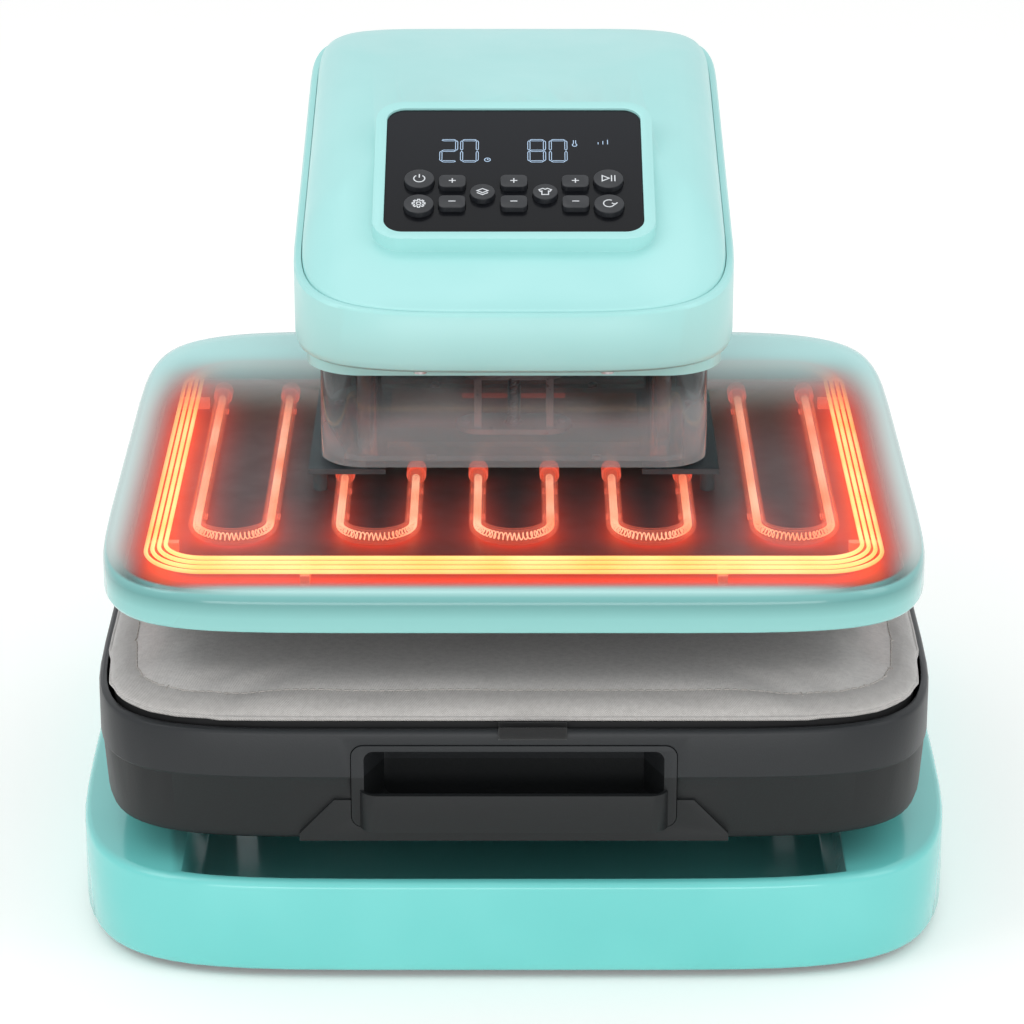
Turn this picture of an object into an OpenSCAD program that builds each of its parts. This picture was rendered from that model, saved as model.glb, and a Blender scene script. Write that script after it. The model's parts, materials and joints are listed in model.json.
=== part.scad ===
// Drawer-fed heat press with a motor-driven head. The front faces -Y, the drawer pulls out towards -Y.
// The origin is on the floor, midway between the front and the back of the base.

/* [Base] */
// Width of the base
base_w = 464; // [440:1:500]
// Front-to-back depth of the base
base_d = 512; // [500:1:540]
// Height of the base's top above the floor
base_top = 56; // [54:0.5:57]
// Height of the rubber feet
foot_h = 4; // [3:0.5:6]
// Depth of the channel under the drawer
channel_depth = 24; // [18:1:30]

/* [Drawer] */
// Width of the drawer
drawer_w = 439; // [430:1:445]
// Front-to-back depth of the drawer
drawer_d = 429; // [420:1:430]
// Height of the drawer's underside above the floor
drawer_bottom = 75; // [75:0.5:76]
// Height of the drawer's rim above the floor
drawer_top = 137; // [136:0.5:138]
// Thickness of the padded cover
pad_t = 14.7; // [12:0.1:15]

/* [Head] */
// Width of the press head
head_w = 430; // [424:1:440]
// Front-to-back depth of the press head
head_d = 428; // [424:1:430]
// Side of the square heating plate
platen_w = 381; // [370:1:382]
// Height of the head's underside, head raised
head_bottom = 190; // [189:0.5:192]
// How far the head travels down
head_travel = 32; // [25:1:32]

/* [Pod] */
// Width of the drive housing
pod_w = 240; // [236:1:250]
// Height of the drive housing's underside
pod_bottom = 275; // [275:0.5:276]
// Height of the housing's seam at its front edge
seam_front_z = 309; // [308:0.5:310]
// Rise of the seam for each unit towards the back
seam_slope = 0.19; // [0.17:0.005:0.2]
// Height of the housing's roof
roof_z = 385; // [384:0.5:387]

/* [Panel] */
// Tilt of the control panel from horizontal
panel_tilt = 22; // [21:0.5:23]
// Width of the control panel
panel_w = 140; // [138:1:142]
// Length of the control panel up its slope
panel_l = 109; // [108:1:110]
// Height that the buttons stand above the panel
button_h = 3.2; // [2:0.1:4]

/* [Hidden] */

eps = 0.01;
outline_steps = 72;
wall = 3;

// Plan positions
base_front = -base_d / 2;
base_back = base_d / 2;
drawer_front = base_front + 9;
drawer_back = drawer_front + drawer_d;
head_front = base_front + 10;
head_back = head_front + head_d;
head_mid = (head_front + head_back) / 2;
pod_front = -92;
pod_back = base_back;
skirt_x = 105.5;
skirt_y = 67;
skirt_r = 25;
post_x = 80;
post_y = 42;
post_r = 6;
screw_r = 4;
run_gap = 0.05;

// Heights
base_floor = base_top - channel_depth;
head_top = head_bottom + 24;
lift_top = head_bottom + 20.5;
chassis_z = 308;
chassis_t = 4;
skirt_top = chassis_z - 2;
shield_z = head_bottom + 5;
shield_t = 1.2;
tube_z = head_bottom + 12;
nut_z = head_top + 36;

// One closed outline with flat-ish sides and full round corners. half_w is half its width, corner is the
// depth of its rounded ends, power sets how square they are: one number, or one for each of [front, rear].
function arm(t, power) = sign(t) * pow(abs(t), 2 / power);
function outline(half_w, y0, y1, corner, power) = [
    for (i = [0 : outline_steps - 1])
    let (a = 360 * (i + 0.5) / outline_steps, straight = (y1 - y0) / 2 - corner)
    let (p = is_list(power) ? power[sin(a) > 0 ? 1 : 0] : power)
    [half_w * arm(cos(a), p), (y0 + y1) / 2 + sign(sin(a)) * straight + corner * arm(sin(a), p)]
];

// A ring of points at a height, which can slope towards the back
function ring(half_w, y0, y1, corner, power, z, slope = 0) = [
    for (p = outline(half_w, y0, y1, corner, power)) [p.x, p.y, z + slope * (p.y - y0)]
];

// Closed solid through a list of rings, lowest first
module loft(rings) {
    n = len(rings[0]);
    m = len(rings);
    points = [for (r = rings) each r];
    sides = [
        for (k = [0 : m - 2], i = [0 : n - 1])
        let (j = (i + 1) % n)
        each [[k * n + i, (k + 1) * n + i, (k + 1) * n + j], [k * n + i, (k + 1) * n + j, k * n + j]]
    ];
    caps = [[for (i = [0 : n - 1]) i], [for (i = [n - 1 : -1 : 0]) (m - 1) * n + i]];
    polyhedron(points, concat(sides, caps), convexity = 8);
}

// Rings of a plain shell: steps is a list of [inset, height]
function shell_rings(half_w, y0, y1, power, steps) = [
    for (s = steps)
    ring(half_w - s[0], y0 + s[0], y1 - s[0], (y1 - y0) / 2 - s[0], power, s[1])
];

module rounded_rect(w, d, r) {
    square([w - 2 * r, d], center = true);
    square([w, d - 2 * r], center = true);
    for (x = [-1, 1], y = [-1, 1]) translate([x * (w / 2 - r), y * (d / 2 - r)]) circle(r, $fn = 48);
}

module plate(w, d, r, z, t) {
    translate([0, 0, z]) linear_extrude(t) rounded_rect(w, d, r);
}

module block(x0, x1, y0, y1, z0, z1) {
    translate([x0, y0, z0]) cube([x1 - x0, y1 - y0, z1 - z0]);
}

module both_sides() {
    for (s = [0, 1]) mirror([s, 0, 0]) children();
}

module screw_head(r = 3.5, h = 1.8) {
    difference() {
        cylinder(r = r, h = h, $fn = 32);
        translate([0, 0, h - 1]) cylinder(r = r * 0.45, h = 1 + eps, $fn = 6);
    }
}

// ---- Base, column and slides ----

channel_x = 165;
channel_draft = 7;
channel_lip = 6;
channel_back = 186;
column_y0 = 190;
column_y1 = 244;
column_w = 190;
column_r = 12;
column_post_x = 60;
column_post_y = 217;
column_post_w = 30;
rail_front = -125;
rail_z0 = base_top + 1;
rail_h = 16;
rail_x = 152;

// The sunk way under the drawer, with sloping sides, grown by grow on every side
module channel(grow) {
    inset = channel_lip - grow;
    intersection() {
        translate([0, channel_back + grow, 0]) rotate([90, 0, 0]) linear_extrude(base_d)
            polygon([[-channel_x - grow, base_floor - grow], [channel_x + grow, base_floor - grow],
                [channel_x + channel_draft + grow, base_top + 1], [-channel_x - channel_draft - grow, base_top + 1]]);
        translate([0, 0, foot_h]) linear_extrude(base_top)
            polygon(outline(base_w / 2 - inset, base_front + inset, base_back - inset, base_d / 2 - inset, 6));
    }
}

module base_shell() {
    color("#7fdad4") difference() {
        loft(shell_rings(base_w / 2, base_front, base_back, 6, [
            [4, foot_h], [1.5, foot_h + 2], [0, foot_h + 6], [0, base_top - 4], [0.5, base_top - 2.2],
            [1.6, base_top - 0.8], [3.5, base_top]
        ]));
        difference() {
            loft(shell_rings(base_w / 2 - wall, base_front + wall, base_back - wall, 6, [
                [3, foot_h - eps], [0, foot_h + 6], [0, base_top - 6], [1.5, base_top - wall]
            ]));
            channel(wall);
        }
        channel(0);
        both_sides() translate([column_post_x, column_post_y, base_top - wall])
            cube([column_post_w + 1, column_post_w + 1, 4 * wall], center = true);
    }
}

module base_plate() {
    color("#8d9296") translate([0, 0, foot_h]) linear_extrude(2)
        polygon(outline(base_w / 2 - 7, base_front + 7, base_back - 7, base_d / 2 - 7, 6));
}

module feet() {
    color("#26282a") for (x = [-170, 170], y = [-190, 190]) translate([x, y, 0])
        cylinder(r1 = 13, r2 = 15, h = foot_h, $fn = 48);
}

module body_screws() {
    color("#b9bdc0") {
        for (x = [-120, 120], y = [-215, -70, 70, 215]) translate([x, y, foot_h]) mirror([0, 0, 1]) screw_head();
        for (p = [[50, -81], [100, 100], [100, 160]]) both_sides() translate([p.x, p.y, pod_bottom])
            mirror([0, 0, 1]) screw_head();
    }
}

// Lying C section, open towards the middle of the press
module c_rail(x1, w, z0, h, t, y0, y1) {
    block(x1 - t, x1, y0, y1, z0, z0 + h);
    block(x1 - w, x1, y0, y1, z0, z0 + t);
    block(x1 - w, x1, y0, y1, z0 + h - t, z0 + h);
}

module fixed_rails() {
    color("#c4c8cb") both_sides() {
        c_rail(rail_x, 11, rail_z0, rail_h, 1.2, rail_front, channel_back - 1);
        for (y = [rail_front + 5, 30, channel_back - 25])
            block(rail_x - 11, rail_x, y, y + 20, base_floor, rail_z0);
    }
}

module middle_rails() {
    color("#d2d5d7") both_sides()
        c_rail(rail_x - 2, 9, rail_z0 + 2.2, rail_h - 4.4, 1.2, rail_front, channel_back - 12);
}

module drawer_rails() {
    color("#d2d5d7") both_sides() {
        block(rail_x - 14, rail_x - 4.2, rail_front, channel_back - 16, rail_z0 + 4.6, rail_z0 + rail_h - 4.6);
        block(rail_x - 17, rail_x - 14, rail_front, channel_back - 16, rail_z0 + 4.6, drawer_bottom);
    }
}

module column_frame() {
    color("#5b6064") {
        block(-90, 90, column_y0 + 6, column_y1 - 6, foot_h + 2, foot_h + 6);
        both_sides() translate([column_post_x, column_post_y, foot_h + 2]) linear_extrude(chassis_z - foot_h - 2)
            difference() {
                square(column_post_w, center = true);
                square(column_post_w - 5, center = true);
            }
    }
}

module column_shell() {
    translate([0, (column_y0 + column_y1) / 2, base_top]) linear_extrude(pod_bottom - base_top) difference() {
        rounded_rect(column_w, column_y1 - column_y0, column_r);
        rounded_rect(column_w - 2 * wall, column_y1 - column_y0 - 2 * wall, column_r - wall);
    }
}

module column_front_cover() {
    color("#9fe3de") intersection() {
        column_shell();
        block(-column_w, column_w, column_y0 - 1, column_post_y, 0, pod_bottom);
    }
}

inlet_z = 110;
inlet_w = 44;

module column_rear_cover() {
    color("#9fe3de") difference() {
        intersection() {
            column_shell();
            block(-column_w, column_w, column_post_y, column_y1 + 1, 0, pod_bottom);
        }
        translate([0, column_y1, inlet_z]) cube([inlet_w + 0.4, 20, inlet_w + 0.4], center = true);
    }
}

rocker_z = inlet_z + 11;
rocker_y = column_y1 - 2;

module power_inlet() {
    color("#2b2d2f") {
        difference() {
            union() {
                block(-24, 24, column_y1, column_y1 + 1.8, inlet_z - 24, inlet_z + 24);
                block(-inlet_w / 2, inlet_w / 2, column_y1 - 18, column_y1, inlet_z - inlet_w / 2,
                    inlet_z + inlet_w / 2);
            }
            block(-14, 14, column_y1 - 15, column_y1 + 3, inlet_z - 20, inlet_z - 2);
            block(-10.8, 10.8, column_y1 - 11, column_y1 + 3, rocker_z - 9.6, rocker_z + 9.6);
        }
        for (p = [[-7, -2], [7, -2], [0, 3]]) translate([p.x, column_y1 - 9.5, inlet_z - 11 + p.y])
            cube([2, 11, 4], center = true);
    }
}

module rocker_switch() {
    color("#1d1f20") translate([0, rocker_y, rocker_z]) rotate([-8, 0, 0]) rotate([90, 0, 90])
        translate([0, 0, -10.4]) linear_extrude(20.8)
        polygon([[2.2, 8.8], [0.9, 0], [2.2, -8.8], [-0.5, -8.8], [-5, -3], [-5, 3], [-0.5, 8.8]]);
}

// ---- Drive inside the pod ----

module arm_chassis() {
    color("#6a6f73") {
        difference() {
            union() {
                block(-100, 100, -62, column_y1 - 11, chassis_z, chassis_z + chassis_t);
                both_sides() block(97, 100, -45, column_y1 - 11, chassis_z + chassis_t, chassis_z + 12);
                for (x = [-post_x, post_x], y = [-post_y, post_y]) translate([x, y, pod_bottom + 5])
                    cylinder(r = 12, h = chassis_z - pod_bottom - 5, $fn = 48);
            }
            for (x = [-post_x, post_x], y = [-post_y, post_y]) translate([x, y, pod_bottom + 4])
                cylinder(r = 9, h = 60, $fn = 48);
            translate([0, 0, chassis_z - 1]) cylinder(r = 11, h = 10, $fn = 48);
        }
    }
}

module guide_bushes() {
    color("#b98f4c") for (x = [-post_x, post_x], y = [-post_y, post_y]) translate([x, y, pod_bottom + 3])
        difference() {
            union() {
                cylinder(r = 11.5, h = 2, $fn = 48);
                cylinder(r = 9, h = 20, $fn = 48);
            }
            translate([0, 0, -1]) cylinder(r = post_r + run_gap, h = 30, $fn = 48);
        }
}

module screw_bearing() {
    color("#c9ccce") translate([0, 0, chassis_z - 4]) difference() {
        union() {
            cylinder(r = 14, h = 4, $fn = 48);
            cylinder(r = 11, h = 8, $fn = 48);
        }
        translate([0, 0, -1]) cylinder(r = screw_r + run_gap, h = 12, $fn = 48);
    }
}

module gear_motor() {
    color("#94999d") translate([0, 0, chassis_z + chassis_t]) difference() {
        union() {
            cylinder(r = 25, h = 14, $fn = 64);
            cylinder(r = 18, h = 24, $fn = 64);
        }
        translate([0, 0, -1]) cylinder(r = screw_r + run_gap, h = 11, $fn = 48);
    }
}

module lead_screw() {
    color("#c3c6c8") {
        translate([0, 0, head_top + 1]) cylinder(r = screw_r, h = chassis_z + 11 - head_top, $fn = 48);
        translate([0, 0, head_top + 1]) cylinder(r = 5, h = 2.5, $fn = 32);
        translate([0, 0, chassis_z - 8]) cylinder(r = 7, h = 3.7, $fn = 32);
    }
}

module power_board() {
    z = chassis_z + chassis_t;
    color("#2f7d4f") {
        block(-50, 50, 100, 180, z + 6, z + 7.6);
        for (x = [-44, 44], y = [106, 174]) translate([x, y, z]) cylinder(r = 3, h = 6, $fn = 24);
        block(-40, -10, 110, 136, z + 7.6, z + 26);
        for (x = [4, 24]) block(x, x + 16, 110, 138, z + 7.6, z + 22);
        for (x = [-36 : 6 : 0]) block(x, x + 2, 148, 172, z + 7.6, z + 28);
        block(-36, 2, 148, 172, z + 7.6, z + 10);
        for (x = [16, 34]) translate([x, 160, z + 7.6]) cylinder(r = 7, h = 18, $fn = 32);
    }
}

fan_z = 339;
fan_y0 = 237;

module fan_frame() {
    color("#303336") translate([0, fan_y0, fan_z]) rotate([-90, 0, 0]) difference() {
        union() {
            difference() {
                translate([-25, -25, 0]) cube([50, 50, 12]);
                translate([0, 0, -1]) cylinder(r = 23.5, h = 14, $fn = 64);
            }
            translate([0, 0, 9.5]) cylinder(r = 9, h = 2.5, $fn = 48);
            for (a = [45, 135]) rotate([0, 0, a]) translate([-24.5, -1.2, 9.5]) cube([49, 2.4, 2.5]);
        }
        translate([0, 0, 5]) cylinder(r = 1.55, h = 6, $fn = 24);
    }
}

module fan_rotor() {
    color("#1f2224") translate([0, fan_y0, fan_z]) rotate([-90, 0, 0]) {
        translate([0, 0, 1]) cylinder(r = 9, h = 8, $fn = 48);
        translate([0, 0, 8]) cylinder(r = 1.5, h = 2.5, $fn = 24);
        for (a = [0 : 360 / 7 : 359]) rotate([0, 0, a]) translate([8.5, 0, 5]) rotate([40, 0, 0])
            translate([0, -5, -0.6]) cube([13.5, 10, 1.2]);
    }
}

// ---- Pod shells ----

pod_corner = 100;
pod_power = [4, 6.5];
lid_inset = 3.4;
lid_mid = (pod_front + pod_back) / 2;
lid_edge = 0.2;
slope_start = 61;
slope_blend = 6;
front_fall = 0.5;

function seam_z(y) = seam_front_z + seam_slope * (y - pod_front);
function roof(y) = roof_z - front_fall * slope_blend * ln(1 + exp((slope_start - y) / slope_blend));
function shoulder(u) = u < lid_edge ? sqrt(1 - pow(1 - u / lid_edge, 2)) : 1;

// One ring of the domed top cover, moved in by the fraction u of the way to the middle
function lid_ring(u, inset, drop) = [
    for (p = outline(pod_w / 2 - lid_inset - 1 - inset, pod_front + lid_inset + inset,
        pod_back - lid_inset - inset, pod_corner - lid_inset - inset, pod_power))
    let (y = lid_mid + (p.y - lid_mid) * (1 - u), s = seam_z(y))
    [p.x * (1 - u), y, s + max(2, roof(y) - s) * shoulder(u) - drop * (u > 0 ? 1 : 0)]
];

module dome(us, inset, drop, skirt_h) {
    base_ring = [for (p = lid_ring(0, inset, 0)) [p.x, p.y, p.z - skirt_h]];
    rings = concat([base_ring], [for (u = us) lid_ring(u, inset, drop)]);
    n = outline_steps;
    m = len(rings);
    apex = [0, lid_mid, roof(lid_mid) - drop];
    points = concat([for (r = rings) each r], [apex]);
    sides = [
        for (k = [0 : m - 2], i = [0 : n - 1])
        let (j = (i + 1) % n)
        each [[k * n + i, (k + 1) * n + i, (k + 1) * n + j], [k * n + i, (k + 1) * n + j, k * n + j]]
    ];
    fan = [for (i = [0 : n - 1]) [(m - 1) * n + i, m * n, (m - 1) * n + (i + 1) % n]];
    polyhedron(points, concat([[for (i = [0 : n - 1]) i]], sides, fan), convexity = 8);
}

surround_depth = 15;

module panel_frame() {
    translate([0, -45, 340.5]) rotate([panel_tilt, 0, 0]) children();
}

module panel_slab(w, l, r, z0, z1) {
    translate([0, panel_l / 2, z0]) linear_extrude(z1 - z0) rounded_rect(w, l, r);
}

module pod_lower_shell() {
    color("#9fe3de") difference() {
        union() {
            loft(concat(
                [for (s = [[7, 0], [3, 0.8], [1, 2.5], [0, 6]])
                    ring(pod_w / 2 - s[0], pod_front + s[0], pod_back - s[0], pod_corner - s[0], pod_power,
                        pod_bottom + s[1])],
                [ring(pod_w / 2, pod_front, pod_back, pod_corner, pod_power, seam_front_z - 2, seam_slope)],
                [ring(pod_w / 2 - 1, pod_front + 1, pod_back - 1, pod_corner - 1, pod_power, seam_front_z,
                    seam_slope)]
            ));
            plate(2 * skirt_x + 14, 2 * skirt_y + 14, skirt_r + 6, pod_bottom - 6, 7);
        }
        loft([
            ring(pod_w / 2 - wall - 1, pod_front + wall + 1, pod_back - wall - 1, pod_corner - wall - 1,
                pod_power, pod_bottom + wall),
            ring(pod_w / 2 - wall - 1, pod_front + wall, pod_back - wall, pod_corner - wall,
                pod_power, seam_front_z + 2, seam_slope)
        ]);
        plate(2 * skirt_x + 5, 2 * skirt_y + 5, skirt_r + 2, pod_bottom - 8, 20);
        both_sides() translate([column_post_x, column_post_y, pod_bottom])
            cube([column_post_w + 1, column_post_w + 1, 20], center = true);
        for (i = [-4 : 4]) block(-22, 22, pod_back - 8, pod_back + 1, fan_z + 5 * i - 1.2, fan_z + 5 * i + 1.2);
    }
}

module pod_top_cover() {
    color("#b9ece8") difference() {
        union() {
            dome([0, 0.003, 0.012, 0.03, 0.055, 0.09, 0.14, 0.2, 0.28, 0.4, 0.55, 0.7, 0.85], 0, 0, 4);
            panel_frame() panel_slab(panel_w + 13, panel_l + 13, 16, -surround_depth, 0.7);
        }
        dome([0, 0.02, 0.07, 0.2, 0.4, 0.6, 0.8], 2.6, 2.6, 5);
        panel_frame() panel_slab(panel_w + 0.6, panel_l + 0.6, 10.3, -30, 20);
    }
}

// ---- Control panel ----

// Each button: name, place across the panel, place up the panel, round radius or 0 for a bar button
BUTTONS = [
    ["power", -51.5, 43.5, 8.1], ["settings", -51.5, 21.5, 8.1], ["time_plus", -33.5, 41.5, 0],
    ["time_minus", -33.5, 23.5, 0], ["vinyl_preset", -17, 32, 6.75], ["heat_plus", 0, 41.5, 0],
    ["heat_minus", 0, 23.5, 0], ["transfer_preset", 17, 32, 6.75], ["pressure_plus", 33.5, 41.5, 0],
    ["pressure_minus", 33.5, 23.5, 0], ["start", 51.5, 43.5, 8.1], ["auto", 51.5, 21.5, 8.1]
];
button_gap = 0.35;

module button_shape(b, grow) {
    translate([b[1], b[2]]) if (b[3] > 0) circle(b[3] + grow, $fn = 48);
    else rounded_rect(14.5 + 2 * grow, 10.6 + 2 * grow, 3 + grow);
}

module button(i) {
    color("#222426") panel_frame() {
        translate([0, 0, -6.3]) linear_extrude(5.7 + button_h) button_shape(BUTTONS[i], 0);
        translate([0, 0, -6.3]) linear_extrude(2.5) button_shape(BUTTONS[i], 0.9);
    }
}

module control_panel() {
    color("#1b1c1e") panel_frame() difference() {
        panel_slab(panel_w, panel_l, 10, -3.5, -0.6);
        for (b = BUTTONS) translate([0, 0, -5]) linear_extrude(8) button_shape(b, button_gap);
    }
}

module display_module() {
    color("#101214") panel_frame() translate([-46, 62, -9]) cube([92, 36, 5.5]);
}

module control_board() {
    color("#27693f") panel_frame() {
        translate([-66, 4, -12.6]) cube([132, 100, 1.6]);
        translate([-40, 66, -11]) cube([80, 28, 2]);
        for (b = BUTTONS) translate([b[1], b[2], -11]) cylinder(r = 3, h = 3.7, $fn = 24);
    }
}

// ---- Press head ----

inner_tube_x = [-73, 0, 73];
outer_tube_x = [-149, 149];
tube_front = -145;
bend_r = 19.5;
tube_r = 4.5;

module head_cover() {
    color("#9fe3de") difference() {
        loft(shell_rings(head_w / 2, head_front, head_back, 7, [
            [1, head_bottom], [0, head_bottom + 2], [0, head_bottom + 15], [0.8, head_bottom + 18.5],
            [2.6, head_bottom + 20.8], [6, head_bottom + 22.2], [16, head_bottom + 23.2], [50, head_top]
        ]));
        loft(shell_rings(head_w / 2 - wall, head_front + wall, head_back - wall, 7, [
            [0, head_bottom - 1], [0, head_bottom + 15], [4, lift_top]
        ]));
        for (x = [-post_x, post_x], y = [-post_y, post_y]) translate([x, y, lift_top - 1])
            cylinder(r = post_r + 0.6, h = 8, $fn = 48);
    }
}

module head_base_frame() {
    color("#3a3d40") translate([0, 0, head_bottom]) linear_extrude(3) difference() {
        polygon(outline(head_w / 2 - wall - 0.6, head_front + wall + 0.6, head_back - wall - 0.6,
            head_d / 2 - wall - 0.6, 7));
        translate([0, head_mid]) rounded_rect(386, 386, 16);
    }
}

module insulation_frame() {
    color("#d8d4c8") translate([0, head_mid, head_bottom + 3]) linear_extrude(2) difference() {
        rounded_rect(408, 408, 46);
        rounded_rect(386, 386, 16);
    }
}

module heat_shield() {
    color("#2c3134") translate([0, head_mid, 0]) plate(404, 404, 46, shield_z, shield_t);
}

module heat_platen() {
    color("#54585b") translate([0, head_mid, 0]) plate(platen_w, platen_w, 14, head_bottom - 3, 8);
}

// Closed rounded-square loop of round bar
module bar_loop(half_x, half_y, corner, r) {
    for (s = [-1, 1]) {
        translate([s * half_x, -half_y + corner, 0]) rotate([-90, 0, 0])
            cylinder(r = r, h = 2 * (half_y - corner), $fn = 24);
        translate([-half_x + corner, s * half_y, 0]) rotate([0, 90, 0])
            cylinder(r = r, h = 2 * (half_x - corner), $fn = 24);
    }
    for (q = [[1, 1, 0], [-1, 1, 90], [-1, -1, 180], [1, -1, 270]])
        translate([q[0] * (half_x - corner), q[1] * (half_y - corner), 0]) rotate([0, 0, q[2]])
            rotate_extrude(angle = 90, $fn = 64) translate([corner, 0]) circle(r, $fn = 24);
}

module perimeter_heater() {
    color("#ffb347") for (i = [0 : 3]) translate([0, head_mid + 3, head_bottom + 13.2 + 1.2 * i])
        bar_loop(192 - 3.5 * i, 165 - 3.5 * i, 32 - 3.5 * i, 1.1);
}

// U-shaped bar with its bend to the front
module u_bar(x, back, r, over = 0) {
    translate([x, tube_front + bend_r + tube_r, tube_z]) {
        rotate([0, 0, 180]) rotate_extrude(angle = 180, $fn = 64) translate([bend_r, 0]) circle(r, $fn = 24);
        for (s = [-1, 1]) translate([s * bend_r, 0, 0]) rotate([-90, 0, 0])
            cylinder(r = r, h = back - tube_front - bend_r - tube_r + over, $fn = 24);
    }
}

module each_tube() {
    for (x = inner_tube_x) {
        $x = x;
        $back = -46;
        children();
    }
    for (x = outer_tube_x) {
        $x = x;
        $back = 86;
        children();
    }
}

module heater_tubes() {
    color("#d98a7a", 0.5) each_tube() difference() {
        u_bar($x, $back, tube_r);
        u_bar($x, $back, tube_r - 1.1, 1);
    }
}

module heater_filaments() {
    color("#ff6a2a") each_tube() u_bar($x, $back, 1.3);
}

module tube_holders() {
    color("#e4ddd0") {
        each_tube() for (s = [-1, 1]) {
            translate([$x + s * bend_r, $back, tube_z]) rotate([-90, 0, 0]) cylinder(r = 5.4, h = 10, $fn = 32);
            for (y = [-100, $back - 15]) block($x + s * bend_r - 4, $x + s * bend_r + 4, y, y + 6,
                shield_z + shield_t, tube_z - tube_r);
        }
        for (x = [-193, 176], y = [-150, 80]) block(x, x + 17, y, y + 5, shield_z + shield_t, head_bottom + 12);
        for (x = [-110, 105]) block(x, x + 5, head_mid - 165, head_mid - 148, shield_z + shield_t,
            head_bottom + 12);
    }
}

module terminal_block() {
    color("#e9e6dc") {
        block(-30, 30, 100, 116, shield_z + shield_t, head_bottom + 14);
        for (x = [-22 : 11 : 22]) translate([x, 108, head_bottom + 14]) cylinder(r = 2.6, h = 1.6, $fn = 24);
    }
}

module temperature_sensor() {
    color("#b08d57") translate([0, 40, shield_z + shield_t]) {
        cylinder(r = 8, h = 4, $fn = 48);
        cylinder(r = 5, h = 9, $fn = 48);
    }
}

module lift_plate() {
    color("#7c8185") {
        both_sides() block(post_x - 10, 112, -60, 74, lift_top - 3, lift_top);
        block(-post_x + 10, post_x - 10, -16, 16, lift_top - 3, lift_top);
        for (x = [-106, 106], y = [-52, 66]) translate([x, y, shield_z + shield_t])
            cylinder(r = 4, h = lift_top - 3 - shield_z - shield_t, $fn = 32);
    }
}

module skirt() {
    color("#6f7a80", 0.5) {
        translate([0, 0, head_top]) linear_extrude(skirt_top - head_top) difference() {
            rounded_rect(2 * skirt_x, 2 * skirt_y, skirt_r);
            rounded_rect(2 * skirt_x - 5, 2 * skirt_y - 5, skirt_r - 2.5);
        }
        translate([0, 0, head_top]) linear_extrude(3) difference() {
            rounded_rect(2 * skirt_x - 4, 2 * skirt_y - 4, skirt_r - 2);
            rounded_rect(2 * skirt_x - 20, 2 * skirt_y - 20, skirt_r - 10);
        }
    }
}

module guide_posts() {
    color("#d5d8da") for (x = [-post_x, post_x], y = [-post_y, post_y]) translate([x, y, lift_top])
        cylinder(r = post_r, h = 322 - lift_top, $fn = 48);
}

// A flat bar with round ends
module capsule(length, width) {
    square([length - width, width], center = true);
    for (x = [-1, 1]) translate([x * (length - width) / 2, 0]) circle(width / 2, $fn = 48);
}

module nut_carrier() {
    color("#9aa0a4") difference() {
        union() {
            translate([0, 0, nut_z - 4]) linear_extrude(4) capsule(58, 28);
            translate([0, 0, head_top]) linear_extrude(3) capsule(64, 28);
            both_sides() block(18, 22, -10, 10, head_top + 3, nut_z - 4);
        }
        translate([0, 0, head_top - 1]) cylinder(r = 5.5, h = nut_z - head_top + 2, $fn = 48);
    }
}

module lead_nut() {
    color("#c0924a") translate([0, 0, nut_z]) difference() {
        union() {
            linear_extrude(4) capsule(43, 28);
            cylinder(r = 6.5, h = 18, $fn = 48);
            cylinder(r = 8.5, h = 7, $fn = 48);
        }
        translate([0, 0, -1]) cylinder(r = screw_r + run_gap, h = 25, $fn = 48);
    }
}

module head_screws() {
    color("#b9bdc0") {
        both_sides() {
            translate([16.5, 0, nut_z + 4]) screw_head(3, 2);
            translate([26.5, 0, head_top + 3]) screw_head(2.5, 1.6);
            for (y = [-30, 30]) translate([99, y, head_top + 3]) screw_head(2.5, 1.6);
            for (y = [-60.5, 60.5]) translate([45, y, head_top + 3]) screw_head(2.5, 1.6);
            for (y = [-100, 0, 100]) translate([202, head_mid + y, head_bottom]) mirror([0, 0, 1]) screw_head();
            for (y = [-202, 202]) translate([90, head_mid + y, head_bottom]) mirror([0, 0, 1]) screw_head();
        }
    }
}

// ---- Drawer ----

handle_x = 83;
handle_z0 = drawer_bottom + 9;
handle_z1 = drawer_top - 8;
handle_depth = 28;
handle_r = 6;
lip_z = drawer_bottom + 29.5;
board_z = drawer_top - 6;
pad_z = drawer_top + 2.3;

module drawer_tray() {
    color("#36383a") difference() {
        union() {
            loft(shell_rings(drawer_w / 2, drawer_front, drawer_back, 7, [
                [6, drawer_bottom], [4, drawer_bottom + 1.5], [3, drawer_bottom + 5], [0.9, drawer_top - 27],
                [0, drawer_top - 25.5], [0, drawer_top - 2.5], [0.7, drawer_top - 0.8], [2, drawer_top]
            ]));
            translate([0, drawer_front + 8, 0]) rotate([90, 0, 0]) linear_extrude(8.5)
                polygon([[-92, drawer_bottom + 24], [92, drawer_bottom + 24], [110, drawer_bottom + 5],
                    [110, drawer_bottom + 1], [-110, drawer_bottom + 1], [-110, drawer_bottom + 5]]);
        }
        loft(shell_rings(drawer_w / 2 - 4, drawer_front + 4, drawer_back - 4, 7, [
            [6, drawer_bottom + 4], [3, drawer_bottom + 6], [0, drawer_top - 25], [0, drawer_top + 1]
        ]));
        handle_block(drawer_front - 5, drawer_front + 20, 0.3);
    }
}

module tray_frame() {
    color("#7c8185") {
        both_sides() block(137, 141, drawer_front + 45, drawer_back - 12, drawer_bottom + 4, board_z);
        for (y = [-150, 20, 150]) block(-137, 137, y, y + 4, drawer_bottom + 4, board_z);
    }
}

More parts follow.
